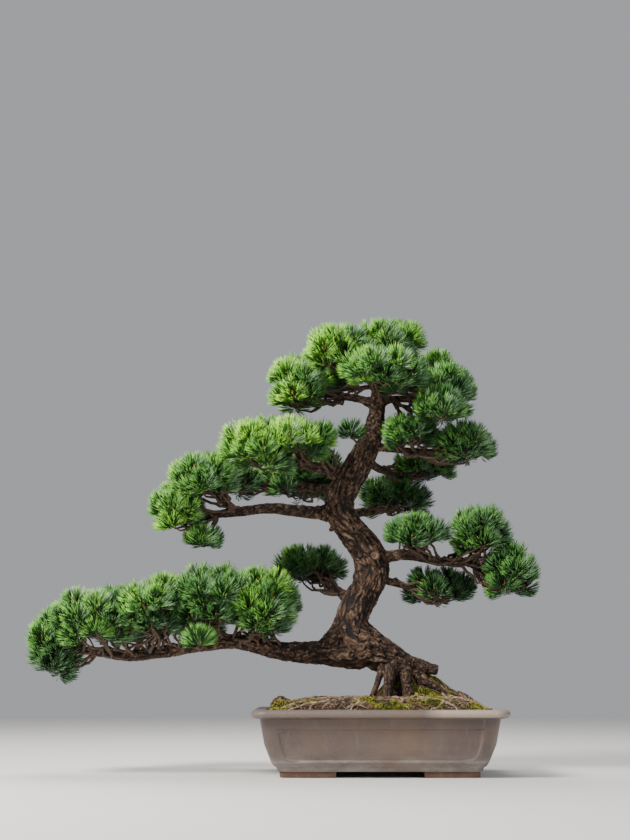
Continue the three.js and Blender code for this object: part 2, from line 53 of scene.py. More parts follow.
# Camera: low in front of the pot and tilted up, as the photograph was taken
cameraPlace = {
    "fromPot": (-0.131, -3.4, 0.203),  # metres from the pot's middle
    "tiltUp": 9.09,
    "focalPixels": 1594,
    "pictureHeight": 840,
    "sensor": 36.0,
    "farEnd": 30,
}

cameraData = bpy.data.cameras.new("camera")
cameraData.sensor_fit = "VERTICAL"
cameraData.sensor_height = cameraPlace["sensor"]
cameraData.lens = cameraPlace["sensor"] * cameraPlace["focalPixels"] / cameraPlace["pictureHeight"]
cameraData.clip_end = cameraPlace["farEnd"]
camera = bpy.data.objects.new("camera", cameraData)
camera.location = Vector(potMiddle) + Vector(cameraPlace["fromPot"])
camera.rotation_euler = (math.radians(90 + cameraPlace["tiltUp"]), 0, 0)
scene.collection.objects.link(camera)
scene.camera = camera
print("camera placed")


# Helpers for modelling
def selectNone():
    if bpy.context.object and bpy.context.object.mode != "OBJECT":
        bpy.ops.object.mode_set(mode="OBJECT")
    bpy.ops.object.select_all(action="DESELECT")


def makeActive(*pieces):
    # picks the pieces, the first as the active one
    selectNone()
    for piece in pieces:
        piece.select_set(True)
    bpy.context.view_layer.objects.active = pieces[0]


def startEdit(piece):
    makeActive(piece)
    bpy.ops.object.mode_set(mode="EDIT")


def endEdit():
    bpy.ops.object.mode_set(mode="OBJECT")


def applyModifiers(piece):
    makeActive(piece)
    for modifier in list(piece.modifiers):
        bpy.ops.object.modifier_apply(modifier=modifier.name)


def settle(piece):
    # a finished piece sits at the origin, with its place in its mesh
    makeActive(piece)
    bpy.ops.object.transform_apply(location=True, rotation=True, scale=True)


def shadeSmooth(piece):
    makeActive(piece)
    bpy.ops.object.shade_smooth()


def joined(pieces, name):
    makeActive(*pieces)
    bpy.ops.object.join()
    pieces[0].name = name
    return pieces[0]


def selectWhere(piece, kind, wanted):
    # in edit mode, picks the verts, edges or faces for which wanted holds
    mesh = bmesh.from_edit_mesh(piece.data)
    parts = {"verts": mesh.verts, "edges": mesh.edges, "faces": mesh.faces}
    chosen = [part for part in parts[kind] if wanted(part)]
    bpy.context.tool_settings.mesh_select_mode = [kind == each for each in parts]
    for part in parts[kind]:
        part.select_set(False)
    for part in chosen:
        part.select_set(True)
    mesh.select_flush_mode()
    bmesh.update_edit_mesh(piece.data)


def upright(edge):
    return abs(edge.verts[0].co.z - edge.verts[1].co.z) > 1e-4


def faceOutward():
    # in edit mode, turns every face outward, and leaves it
    bpy.ops.mesh.select_all(action="SELECT")
    bpy.ops.mesh.normals_make_consistent(inside=False)
    endEdit()


def handOver(piece, slot, *nodes, material=None):
    # the piece rides on the one body and stands for its nodes
    selectNone()
    if material:
        piece.data.materials.append(material)
    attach(piece, "root")
    if nodes:
        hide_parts(*nodes)
    return piece


def cornersOf(piece, what="co"):
    # where the corners of a mesh are, or their normals
    values = np.empty(len(piece.data.vertices) * 3)
    piece.data.vertices.foreach_get(what, values)
    return values.reshape(-1, 3)


def spotsOf(piece):
    # the corners in millimetres from the pot's middle
    return (cornersOf(piece) - potMiddle) / mm


def putSpots(piece, spots):
    piece.data.vertices.foreach_set("co", np.asarray(potMiddle + spots * mm, np.float32).ravel())
    piece.data.update()


def atPot(x, y, z):
    return Vector((potMiddle[0] + x * mm, potMiddle[1] + y * mm, z * mm))


def meshFromArrays(name, spots, faces, materials, faceMaterials=None):
    # spots N x 3 in millimetres from the pot's middle, faces M x 3
    mesh = bpy.data.meshes.new(name)
    mesh.vertices.add(len(spots))
    mesh.loops.add(faces.size)
    mesh.loops.foreach_set("vertex_index", np.asarray(faces, np.int32).ravel())
    mesh.polygons.add(len(faces))
    mesh.polygons.foreach_set("loop_start", np.arange(0, faces.size, faces.shape[1], dtype=np.int32))
    for material in materials:
        mesh.materials.append(material)
    if faceMaterials is not None:
        mesh.polygons.foreach_set("material_index", np.asarray(faceMaterials, np.int32))
    piece = bpy.data.objects.new(name, mesh)
    putSpots(piece, spots)
    mesh.update(calc_edges=True)
    mesh.validate()
    scene.collection.objects.link(piece)
    return piece


def makeBlock(name, low, high):
    # a block between two corners in millimetres from the pot's middle
    selectNone()
    bpy.ops.mesh.primitive_cube_add(size=1, location=atPot(*(np.add(low, high) / 2)))
    block = bpy.context.object
    block.name = name
    block.dimensions = Vector(np.subtract(high, low) * mm)
    settle(block)
    return block


# Helpers for arrays of points
def columns(*parts):
    # arrays or single numbers set side by side
    return np.stack(np.broadcast_arrays(*parts), axis=1)


def unit(vectors):
    return vectors / np.maximum(np.linalg.norm(vectors, axis=-1, keepdims=True), 1e-9)


def smoothStep(low, high, value):
    share = np.clip((value - low) / (high - low), 0, 1)
    return share * share * (3 - 2 * share)


def hashOf(cells, salt):
    mixed = (cells[..., 0] * 73856093) ^ (cells[..., 1] * 19349663) ^ (cells[..., 2] * 83492791)
    mixed = (mixed + salt * 2654435761) & 0xFFFFFFFF
    for again in range(2):
        mixed = ((mixed ^ (mixed >> 16)) * 0x45D9F3B) & 0xFFFFFFFF
    return (mixed ^ (mixed >> 16)) / 4294967295.0


def waves(points, salt):
    # smooth seeded noise from -1 to 1
    base = np.floor(points).astype(np.int64)
    part = points - base
    part = part * part * (3 - 2 * part)
    total = np.zeros(len(points))
    for corner in np.ndindex(2, 2, 2):
        share = np.prod(np.where(corner, part, 1 - part), axis=1)
        total += share * hashOf(base + corner, salt)
    return total * 2 - 1


class Look:
    # a material whose methods add nodes and return their sockets
    def __init__(self, name, roughness):
        self.material = bpy.data.materials.new(name)
        self.material.use_nodes = True
        self.nodes = self.material.node_tree.nodes
        self.shader = self.nodes["Principled BSDF"].inputs
        self.fill(self.shader["Roughness"], roughness)

    def fill(self, socket, value):
        # value is a socket, a number, a colour or three measures
        if isinstance(value, bpy.types.NodeSocket):
            self.material.node_tree.links.new(value, socket)
        else:
            socket.default_value = (*value, 1) if socket.type == "RGBA" else value

    def node(self, kind, inputs, **settings):
        node = self.nodes.new(kind)
        for name, value in settings.items():
            setattr(node, name, value)
        for name, value in inputs.items():
            self.fill(node.inputs[name], value)
        return node.outputs

    def place(self):
        return self.node("ShaderNodeTexCoord", {})["Object"]

    def noise(self, scale, detail=4, roughness=0.55, stretch=(1, 1, 1)):
        place = self.node("ShaderNodeMapping", {"Vector": self.place(), "Scale": stretch})["Vector"]
        return self.node("ShaderNodeTexNoise", {
            "Vector": place, "Scale": scale, "Detail": detail, "Roughness": roughness})["Fac"]

    def mix(self, share, first, second, blend="MIX"):
        return self.node(
            "ShaderNodeMix", {0: share, 6: first, 7: second}, data_type="RGBA", blend_type=blend)[2]

    def ramp(self, value, stops):
        # stops are (place, brightness or colour)
        node = self.nodes.new("ShaderNodeValToRGB")
        self.fill(node.inputs["Fac"], value)
        while len(node.color_ramp.elements) < len(stops):
            node.color_ramp.elements.new(0.5)
        for element, (place, colour) in zip(node.color_ramp.elements, stops):
            element.position = place
            element.color = (*np.broadcast_to(colour, 3), 1)
        return node.outputs["Color"]

    def finish(self, colour, grain, strength, depth):
        # colour, and a bump from the grain
        self.fill(self.shader["Base Color"], colour)
        bump = self.node("ShaderNodeBump", {"Height": grain, "Strength": strength, "Distance": depth})
        self.fill(self.shader["Normal"], bump["Normal"])
        return self.material


# Pot: glazed walls with sunk panels, a rounded lip and four clay feet, in millimetres from the pot's middle
potShape = {
    "halfWidth": 260,
    "halfDepth": 196,
    "baseCorner": 26,
    "cornerSteps": 9,
    "walls": [  # height, how far inside the lip's edge
        (20, 50), (22, 46), (26, 43.2), (31, 40.2), (66, 26.8), (97, 21.2), (110, 18.8), (116, 18),
        (117, 11), (119, 4.5), (122, 1), (126, 0), (129.5, 0.8), (132, 3), (133.8, 6.5), (134.4, 10),
        (134.6, 25), (134, 29), (131, 31), (100, 38), (60, 46), (26, 74),
    ],
    "underside": (12, 53),
    "panel": {"from": 31, "to": 97, "margin": 2.5, "corner": 13, "steps": 6, "slope": 3.5, "sunk": 2.8},
    "footHeight": 16,
    "footOuter": (203, 139),
    "footInner": (177, 113),
    "footEnds": (88, 56),
    "footCorner": 20,
    "footTaper": 0.985,
    "footTaperFrom": (140, 100),
    "drains": (-120, 120),
    "drainRadius": 16,
    "softEdge": 0.9,
    "softOver": 24,  # degrees between faces
    "smoothUnder": 38,
}
glazeTones = {
    "body": [(0.3, (0.086, 0.059, 0.051)), (0.55, (0.110, 0.078, 0.068)), (0.8, (0.142, 0.104, 0.091))],
    "lip": (0.162, 0.130, 0.115),
    "worn": (0.52, 0.41, 0.33),
    # painted shadow, darkening the glaze just under the lip
    "shadowUnderLip": (0.050, 0.031, 0.024),
    "bloom": (0.26, 0.235, 0.215),
    "rust": (0.21, 0.125, 0.078),
    "speck": (0.04, 0.025, 0.020),
}
clayTones = [(0.3, (0.085, 0.045, 0.030)), (0.55, (0.15, 0.085, 0.058)), (0.78, (0.24, 0.165, 0.125))]


def pushPanels(body, panel):
    # in edit mode: panels are framed, their corners rounded, then pushed in
    def inPanel(face):
        middle = face.calc_center_median()
        onAxis = min(abs(middle.x - potMiddle[0]), abs(middle.y - potMiddle[1])) < 1e-3
        outward = (middle - atPot(0, 0, middle.z / mm)).dot(face.normal) > 0
        level = panel["from"] * mm < middle.z < panel["to"] * mm
        return onAxis and outward and level and abs(face.normal.z) < 0.5

    selectWhere(body, "faces", inPanel)
    bpy.ops.mesh.inset(thickness=panel["margin"] * mm, use_individual=False)
    selectWhere(body, "verts", lambda corner: sum(face.select for face in corner.link_faces) == 1)
    bpy.ops.mesh.bevel(offset=panel["corner"] * mm, segments=panel["steps"], affect="VERTICES")
    selectWhere(body, "faces", lambda face: inPanel(face) and len(face.verts) >= 2 * panel["steps"])
    bpy.ops.mesh.inset(thickness=panel["slope"] * mm, depth=-panel["sunk"] * mm, use_individual=False)


def makePotBody():
    shape = potShape
    height, inset = shape["underside"]
    wide, deep = shape["halfWidth"] - inset, shape["halfDepth"] - inset
    body = makeBlock("pot_body", (-wide, -deep, height), (wide, deep, shape["walls"][0][0]))
    startEdit(body)
    selectWhere(body, "edges", upright)
    bpy.ops.mesh.bevel(offset=shape["baseCorner"] * mm, segments=shape["cornerSteps"], affect="EDGES")
    selectWhere(body, "faces", lambda face: face.normal.z > 0.9)
    for i, (height, inset) in enumerate(shape["walls"]):
        if i:
            rise = (height - shape["walls"][i - 1][0]) * mm
            bpy.ops.mesh.extrude_region_move(TRANSFORM_OT_translate={"value": (0, 0, rise)})
        newWide, newDeep = shape["halfWidth"] - inset, shape["halfDepth"] - inset
        bpy.ops.transform.resize(
            value=(newWide / wide, newDeep / deep, 1), center_override=atPot(0, 0, height))
        wide, deep = newWide, newDeep
    pushPanels(body, shape["panel"])
    endEdit()
    return body


def makeFoot():
    # one clay foot: a bar along the front whose end is drawn out along the side
    shape = potShape
    outer, inner, ends = shape["footOuter"], shape["footInner"], shape["footEnds"]
    turn = atPot(*inner, 0)
    edge = atPot(outer[0] - 1, outer[1] - 1, 0)
    foot = makeBlock("foot", (ends[0], inner[1], 0), (*outer, shape["footHeight"]))
    startEdit(foot)
    bpy.ops.mesh.select_all(action="SELECT")
    bpy.ops.mesh.bisect(plane_co=turn, plane_no=(1, 0, 0))
    selectWhere(foot, "faces", lambda face: face.normal.y < -0.9 and face.calc_center_median().x > turn.x)
    bpy.ops.mesh.extrude_region_move(
        TRANSFORM_OT_translate={"value": (0, (ends[1] - inner[1]) * mm, 0)})
    selectWhere(foot, "edges", lambda side: upright(side) and all(
        end.co.x > edge.x and end.co.y > edge.y for end in side.verts))
    bpy.ops.mesh.bevel(offset=shape["footCorner"] * mm, segments=6, affect="EDGES")
    selectWhere(foot, "faces", lambda face: face.normal.z < -0.9)
    bpy.ops.transform.resize(
        value=(shape["footTaper"], shape["footTaper"], 1), center_override=atPot(*shape["footTaperFrom"], 0))
    endEdit()
    return foot


def mirrored(piece, flips):
    # a copy with its own mesh, turned over the pot's middle planes
    copy = piece.copy()
    copy.data = piece.data.copy()
    scene.collection.objects.link(copy)
    putSpots(copy, spotsOf(copy) * flips)
    if np.prod(flips) < 0:
        startEdit(copy)
        faceOutward()
    return copy


def makeGlaze():
    look = Look("taupeGlaze", 0.38)
    where = look.node("ShaderNodeSeparateXYZ", {0: look.place()})
    across, height = where["X"], where["Z"]
    right = potMiddle[0]
    lip = look.ramp(height, [(0.1155, 0.0), (0.121, 0.75), (0.135, 0.9)])
    worn = look.ramp(across, [
        (right + 0.085, 0.0), (right + 0.125, 0.85), (right + 0.23, 0.75), (right + 0.258, 0.2)])
    low = look.ramp(height, [
        (0.012, 0.8), (0.021, 0.95), (0.0245, 0.45), (0.029, 0.5), (0.0315, 0.95), (0.035, 0.45),
        (0.045, 0.2), (0.09, 0.0)])
    patchy = look.ramp(look.noise(15, 6, 0.7, (1, 1, 2.2)), [(0.38, 0.15), (0.62, 1.0)])
    colour = look.ramp(look.noise(9, 5, 0.6), glazeTones["body"])
    for share, tone in [
            # the lip is paler, where the glaze thins, and worn at its right end; under it is a painted shadow
            # cast by the lip
            (lip, "lip"),
            (look.mix(1.0, worn, lip, "MULTIPLY"), "worn"),
            (look.ramp(height, [(0.098, 0.0), (0.114, 0.5), (0.1175, 0.65), (0.1195, 0.0)]), "shadowUnderLip"),
            (look.ramp(look.noise(5.5, 3), [(0.53, 0.0), (0.75, 0.55)]), "rust"),
            # chalky bloom on the lower band and in faint runs above it
            (look.mix(1.0, low, patchy, "MULTIPLY"), "bloom"),
            (look.ramp(look.noise(60, 4, 0.6, (1, 1, 0.12)), [(0.56, 0.0), (0.72, 0.22)]), "bloom"),
            (look.ramp(look.noise(420, 2), [(0.64, 0.0), (0.72, 0.7)]), "speck")]:
        colour = look.mix(share, colour, glazeTones[tone])
    look.fill(look.shader["Roughness"], look.ramp(look.noise(40, 4), [(0.3, 0.34), (0.7, 0.56)]))
    return look.finish(colour, look.noise(130, 5, 0.6), 0.16, 0.001)


def makeClay():
    look = Look("footClay", 0.85)
    return look.finish(look.ramp(look.noise(35, 6, 0.65), clayTones), look.noise(500, 3), 0.4, 0.0006)


potBody = makePotBody()
potBody.data.materials.append(makeGlaze())
for x in potShape["drains"]:
    selectNone()
    bpy.ops.mesh.primitive_cylinder_add(
        vertices=32, radius=potShape["drainRadius"] * mm, depth=0.06, location=atPot(x, 0, 20))
    drill = bpy.context.object
    settle(drill)
    hole = potBody.modifiers.new("drain", "BOOLEAN")
    hole.operation = "DIFFERENCE"
    hole.object = drill
    applyModifiers(potBody)
    bpy.data.objects.remove(drill)
foot = makeFoot()
foot.data.materials.append(makeClay())
feet = [foot, *[mirrored(foot, flips) for flips in ((-1, 1, 1), (1, -1, 1), (-1, -1, 1))]]
for piece in [potBody, *feet]:
    edges = piece.modifiers.new("softEdges", "BEVEL")
    edges.width = potShape["softEdge"] * mm
    edges.segments = 2
    edges.limit_method = "ANGLE"
    edges.angle_limit = math.radians(potShape["softOver"])
    applyModifiers(piece)
joined([potBody, *feet], "pot_body")
bpy.ops.object.shade_smooth_by_angle(angle=math.radians(potShape["smoothUnder"]))
handOver(potBody, "glaze", "pot")
print("pot made,", len(potBody.data.polygons), "faces")


# Limbs, in millimetres from the pot's middle: points as [x, y, z, radius]
groundCut = 150
trunkShape = {
    "line": [
        [100, 24, 138, 30], [80, 14, 196, 28], [40, 2, 226, 31], [-4, 0, 251, 37], [-42, 0, 281, 39],
        [-54, 2, 314, 35], [-40, 5, 350, 33.5], [-21, 8, 386, 35], [-8, 10, 420, 38], [-14, 10, 450, 36],
        [-34, 8, 484, 32], [-60, 5, 516, 31], [-77, 2, 546, 31], [-79, 0, 574, 31], [-66, -2, 601, 30],
        [-34, -6, 655, 29], [-12, -10, 700, 25], [0, -12, 741, 19.5], [5, -13, 790, 15.5],
        [1, -14, 840, 12.5], [-4, -14, 880, 9], [4, -14, 905, 5],
    ],
    "roots": [
        [[36, -12, 232, 15], [27, -34, 212, 12.5], [21, -50, 184, 10.5], [20, -62, 138, 13]],
        [[14, -14, 236, 11], [5, -32, 206, 7.5], [-4, -44, 180, 6], [-21, -54, 138, 7]],
        [[58, -6, 228, 19], [58, -22, 206, 14], [61, -36, 180, 11.5], [66, -46, 138, 12]],
        [[62, 4, 224, 22], [84, 4, 222, 17], [108, 2, 218, 13], [128, 0, 213, 11]],
        [[80, -4, 206, 16], [100, -18, 190, 10], [126, -30, 176, 7.5], [152, -40, 138, 7]],
        [[30, 14, 240, 20], [36, 38, 214, 15], [40, 58, 186, 13], [42, 74, 138, 15]],
        [[-50, 4, 350, 24], [-66, 1, 316, 24], [-90, -3, 276, 23], [-122, -8, 250, 21]],
        [[72, 14, 214, 20], [98, 34, 196, 13], [124, 48, 176, 10], [150, 60, 138, 10]],
    ],
    "snags": [  # short dead stubs on the trunk
        [[-92, -26, 566, 6], [-103, -34, 556, 5], [-108, -37, 536, 4.2], [-107, -38, 520, 3]],
        [[-18, -24, 642, 5], [-10, -36, 645, 4.5], [-6, -43, 646, 4]],
        [[-44, -22, 500, 5], [-34, -34, 508, 4.5], [-30, -40, 510, 4]],
        [[-84, -18, 520, 6], [-94, -30, 512, 5], [-97, -36, 505, 4]],
    ],
    # a swelling where a bough leaves: how far along it at most, its reach in radii and in length, its width
    "collar": {"most": 0.5, "radii": 1.2, "further": 34, "swell": 1.5, "fades": 0.56},
    "knots": [((-4, -28, 454), 12.5, 3.8)],  # middle, half width, height of the collar
}
barShape = {  # sides, length of a step, depth of the ridges
    "trunk": (18, 9, 0.075),
    "root": (12, 8, 0.06),
    "snag": (8, 5, 0.05),
    "collar": (12, 6, 0.05),
    "bough": (12, 9, 0.06),
}

# Boughs: name, the limb it grows from, points as for the trunk
boughs = [
    ["low_left", "trunk", [
        [-22, 0, 262, 30], [-70, -6, 246, 27], [-120, -10, 249, 24], [-167, -15, 251, 21.5],
        [-211, -20, 255, 19], [-257, -25, 266, 16.5], [-303, -25, 273, 15.5], [-372, -20, 264, 14],
        [-457, -15, 250, 13], [-531, -10, 243, 11.5], [-588, -10, 251, 9.5], [-660, -10, 262, 6]]],
    ["low_back", "low_left", [
        [-318, -24, 270, 9], [-352, 32, 284, 9], [-418, 88, 297, 8], [-520, 108, 303, 5]]],
    ["middle_lower", "trunk", [
        [-78, 0, 547, 15], [-112, -2, 545, 14], [-163, -5, 549, 13], [-227, -10, 555, 12],
        [-291, -15, 547, 10.5], [-344, -15, 540, 9], [-412, -16, 527, 6]]],
    ["middle_fork", "middle_lower", [
        [-298, -15, 547, 8], [-316, -20, 563, 8], [-335, -26, 581, 7], [-356, -36, 594, 5]]],
    ["middle_upper", "trunk", [
        [-60, -2, 622, 13], [-92, -6, 633, 12], [-131, -15, 643, 11], [-184, -25, 650, 10],
        [-227, -34, 652, 8.5], [-262, -46, 660, 6]]],
    ["middle_back", "trunk", [
        [-78, 4, 588, 13], [-112, 58, 604, 11], [-190, 108, 616, 9], [-290, 112, 614, 5.5]]],
    ["right", "trunk", [
        [-8, 6, 446, 14], [22, 5, 452, 12.5], [60, 0, 457, 11.5], [101, 0, 449, 10], [144, 0, 441, 9],
        [186, -5, 442, 8], [214, -8, 427, 7], [236, -12, 412, 5.5]]],
    ["right_low", "trunk", [
        [-4, 8, 412, 10], [28, 12, 400, 8], [92, 20, 383, 6.5], [126, 26, 372, 5]]],
    ["right_upper", "trunk", [
        [-14, -8, 690, 10], [14, -4, 686, 8.5], [67, 0, 680, 7.5], [126, -6, 677, 6.5], [158, -12, 680, 5]]],
    ["right_upper_back", "trunk", [
        [-24, -4, 668, 10], [8, 54, 648, 8.5], [70, 106, 640, 6]]],
    ["low_behind", "trunk", [
        [-46, 6, 338, 13], [-72, 64, 376, 11], [-112, 118, 404, 7.5]]],
    ["middle_behind", "trunk", [
        [-66, 4, 534, 12], [-36, 64, 552, 10], [18, 118, 564, 7]]],
    ["crown_left", "trunk", [
        [4, -13, 776, 10], [-20, -16, 785, 9], [-85, -22, 797, 8], [-141, -28, 797, 6]]],
    ["crown_right", "trunk", [
        [4, -13, 782, 9], [34, -14, 790, 8], [84, -18, 790, 7], [130, -20, 794, 5]]],
    ["crown_front", "trunk", [
        [4, -13, 800, 8], [10, -54, 804, 7], [14, -108, 808, 5]]],
    ["crown_back", "trunk", [
        [3, -13, 812, 9], [5, 38, 832, 7.5], [8, 98, 864, 5]]],
    ["crown_back_left", "crown_back", [
        [4, 22, 826, 6], [-30, 62, 828, 6], [-90, 106, 832, 4.5]]],
    ["crown_back_right", "crown_back", [
        [5, 34, 832, 6], [40, 68, 830, 6], [92, 104, 830, 4.5]]],
]

# Masses of needles: name, limb, place of the stem along it, centre, half sizes
masses = [
    ["low_left_tip", "low_left", 0.99, [-678, -15, 265], [66, 84, 97]],
    ["low_left_outer", "low_left", 0.86, [-587, -72, 319], [97, 84, 73]],
    ["low_left_middle", "low_left", 0.7, [-462, -84, 342], [101, 86, 76]],
    ["low_left_inner", "low_left", 0.5, [-341, -84, 361], [104, 88, 86]],
    ["low_left_heel", "low_left", 0.36, [-237, -84, 345], [80, 86, 86]],
    ["low_left_front", "low_left", 0.54, [-368, -148, 275], [45, 50, 35]],
    ["low_left_back_outer", "low_back", 0.97, [-560, 104, 330], [100, 86, 74]],
    ["low_left_back_middle", "low_back", 0.5, [-400, 110, 346], [104, 92, 86]],
    ["low_left_back_heel", "low_left", 0.4, [-250, 110, 353], [92, 84, 64]],
    ["middle_left_tip", "middle_lower", 0.98, [-422, -45, 551], [64, 86, 67]],
    ["middle_left_shoulder", "middle_fork", 0.97, [-364, -76, 612], [84, 88, 60]],
    ["middle_left_crest", "middle_upper", 0.96, [-242, -86, 674], [103, 90, 73]],
    ["middle_left_heel", "middle_upper", 0.42, [-160, -90, 693], [80, 84, 54]],
    ["middle_left_hanging", "middle_lower", 0.78, [-366, -50, 488], [46, 60, 37]],
    ["middle_left_back_tip", "middle_back", 0.97, [-331, 112, 635], [92, 90, 58]],
    ["middle_left_back_heel", "middle_back", 0.5, [-154, 124, 640], [108, 90, 76]],
    ["crown_left", "crown_left", 0.95, [-170, -44, 810], [68, 90, 73]],
    ["crown_top_left", "trunk", 0.93, [-79, -60, 887], [84, 88, 62]],
    ["crown_top", "trunk", 0.995, [26, -20, 914], [88, 90, 56]],
    ["crown_front", "crown_front", 0.95, [14, -136, 830], [100, 82, 60]],
    ["crown_right", "crown_right", 0.97, [150, -34, 797], [68, 90, 78]],
    ["crown_right_front", "crown_right", 0.62, [130, -120, 756], [60, 74, 52]],
    ["crown_back_left", "crown_back_left", 0.96, [-126, 116, 865], [92, 88, 68]],
    ["crown_back", "crown_back", 0.97, [9, 126, 914], [86, 88, 56]],
    ["crown_back_right", "crown_back_right", 0.96, [128, 118, 860], [82, 88, 70]],
    ["right_upper_inner", "right_upper", 0.5, [74, -44, 712], [66, 78, 48]],
    ["right_upper_tip", "right_upper", 0.97, [190, -30, 692], [74, 80, 54]],
    ["right_upper_behind", "right_upper_back", 0.96, [108, 124, 659], [83, 80, 44]],
    ["right_inner", "right", 0.42, [86, -50, 498], [76, 82, 48]],
    ["right_crest", "right", 0.72, [221, -24, 503], [71, 86, 64]],
    ["right_tip", "right", 0.97, [281, -30, 414], [63, 86, 74]],
    ["right_hanging", "right_low", 0.97, [134, 40, 386], [84, 72, 55]],
    ["low_behind", "low_behind", 0.95, [-138, 140, 441], [93, 86, 54]],
    ["middle_behind", "middle_behind", 0.95, [47, 140, 593], [93, 86, 56]],
    ["little_by_trunk", "trunk", 0.74, [-54, -84, 711], [34, 36, 30]],
]


class Curve:
    # a centripetal curve through points, read at equal steps of its length
    def __init__(self, points):
        self.points = np.array([p[:3] for p in points], float)
        self.radii = [p[3] for p in points]
        shares = np.linspace(0, 1, 201)
        spots = np.array([self.at(share) for share in shares])
        lengths = np.concatenate([[0], np.cumsum(np.linalg.norm(np.diff(spots, axis=0), axis=1))])
        self.shares, self.lengths, self.length = shares, lengths, lengths[-1]

    def at(self, share):
        points = self.points
        place = (len(points) - 1) * share
        first = min(int(place), len(points) - 2)
        part = place - first
        b, c = points[first], points[first + 1]
        a = points[first - 1] if first > 0 else 2 * points[0] - points[1]
        d = points[first + 2] if first + 2 < len(points) else 2 * points[-1] - points[-2]
        steps = [max(np.sum((q - p) ** 2) ** 0.25, 1e-4) for p, q in ((a, b), (b, c), (c, d))]
        out = ((b - a) / steps[0] - (c - a) / (steps[0] + steps[1]) + (c - b) / steps[1]) * steps[1]
        into = ((c - b) / steps[1] - (d - b) / (steps[1] + steps[2]) + (d - c) / steps[2]) * steps[1]
        return (b + out * part + (-3 * b + 3 * c - 2 * out - into) * part ** 2
                + (2 * b - 2 * c + out + into) * part ** 3)

    def station(self, share):
        along = np.interp(share * self.length, self.lengths, self.shares)
        place = along * (len(self.points) - 1)
        before = min(int(place), len(self.points) - 2)
        radius = self.radii[before] + (self.radii[before + 1] - self.radii[before]) * (place - before)
        return self.at(along), radius

    def stations(self, steps):
        centres, radii = zip(*[self.station(i / steps) for i in range(steps + 1)])
        return np.array(centres), np.array(radii)


def framesAlong(centres, guess):
    # directions ahead, to the side and to the front, turning as little as they can on the way
    ahead = unit(np.gradient(centres, axis=0))
    side = np.cross(ahead[0], guess)
    sides = []
    for direction in ahead:
        side = unit(side - direction * side.dot(direction))
        sides.append(side)
    sides = np.array(sides)
    return ahead, sides, np.cross(ahead, sides)


def limbStations(points, steps):
    curve = Curve(points)
    centres, radii = curve.stations(steps)
    ahead, sides, fronts = framesAlong(centres, (0.31, 0.95, 0.05))
    return {
        "centre": centres, "radius": radii, "ahead": ahead, "side": sides,
        "front": fronts, "along": np.linspace(0, curve.length, steps + 1),
    }


def makeBar(kind, points, end=1.0):
    # a primitive bar cut into rings, which are then laid round the limb's line, up to the share end of it
    sides, stepLength, gnarl = barShape[kind]
    steps = max(3, round(Curve(points).length * end / stepLength))
    selectNone()
    bpy.ops.mesh.primitive_cylinder_add(vertices=sides, radius=1, depth=1, end_fill_type="TRIFAN")
    bar = bpy.context.object
    startEdit(bar)
    selectWhere(bar, "edges", upright)
    bpy.ops.mesh.subdivide(number_cuts=steps - 1)
    endEdit()
    whole = limbStations(points, 200)
    corners = cornersOf(bar)
    share = (corners[:, 2] + 0.5) * end
    laid = {key: np.stack([np.interp(share, np.linspace(0, 1, 201), column)
                           for column in np.atleast_2d(whole[key].T)], axis=1)
            for key in ("centre", "radius", "side", "front", "along")}
    angle = np.arctan2(corners[:, 0], corners[:, 1])
    turn = laid["along"][:, 0] / 36
    wave = 0.6 * np.sin(3 * angle + turn * 0.55) + 0.4 * np.sin(5 * angle - turn * 0.8)
    reach = np.hypot(corners[:, 0], corners[:, 1]) * laid["radius"][:, 0] * (1 + gnarl * wave)
    putSpots(bar, laid["centre"] + laid["side"] * (np.sin(angle) * reach)[:, None]
             + laid["front"] * (np.cos(angle) * reach)[:, None])
    return bar


def makeCollar(points):
    # a swelling where a bough leaves the trunk
    shape = trunkShape["collar"]
    end = min(shape["most"], (points[0][3] * shape["radii"] + shape["further"]) / Curve(points).length)
    bar = makeBar("collar", points, end)
    spots = spotsOf(bar)
    near, far = limbStations(points, 40)["centre"][[0, int(40 * end)]]
    place = np.clip((spots - near) @ (far - near) / np.sum((far - near) ** 2), 0, 1)[:, None]
    centre = near + place * (far - near)
    putSpots(bar, centre + (spots - centre) * (shape["swell"] - shape["fades"] * place))
    return bar


def fuse(piece, voxel, smoothing):
    # overlapping bars become one skin
    remesh = piece.modifiers.new("fuse", "REMESH")
    remesh.mode = "VOXEL"
    remesh.voxel_size = voxel * mm
    soften = piece.modifiers.new("soften", "SMOOTH")
    soften.factor = 0.5
    soften.iterations = smoothing
    applyModifiers(piece)


# Bark: long broken ridges between deep furrows that wind along each limb, flaking in steps
barkShape = {
    "trunkVoxel": 1.82,
    "trunkSmoothing": 6,
    "boughVoxel": 1.9,
    "boughSmoothing": 4,
    "furrowWide": 6.4,
    "furrowLong": 26,
    "crossWide": 4.6,
    "crossLong": 12,
    "furrow": 0.23,  # share of a ridge's noise that falls in the furrow
    "crossCrack": 0.14,
    "steps": 5,
    "twist": 0.007,  # radians for each millimetre along
    "wander": 6.2,
    "relief": 5.0,
    "ridge": 3.4,
    "ridgeWide": 17,
    "ridgeLong": 70,
    "flake": 0.7,
    "flakeSize": 2.7,
    "reliefShare": 0.17,  # of the limb's radius, at most
    "thickLimb": 26,  # radius from which the ridges keep their full size
    "dampBelow": (165, 270),
}
barkTones = {
    "wood": [(0.12, (0.0042, 0.0022, 0.0014)), (0.30, (0.021, 0.0096, 0.0052)),
             (0.48, (0.056, 0.0268, 0.0145)), (0.68, (0.112, 0.062, 0.0365)), (0.92, (0.215, 0.150, 0.104))],
    # near-black painted shade for the furrows and cracks
    "crackShade": (0.0016, 0.0010, 0.0007),
    "moss": (0.030, 0.042, 0.008),
}


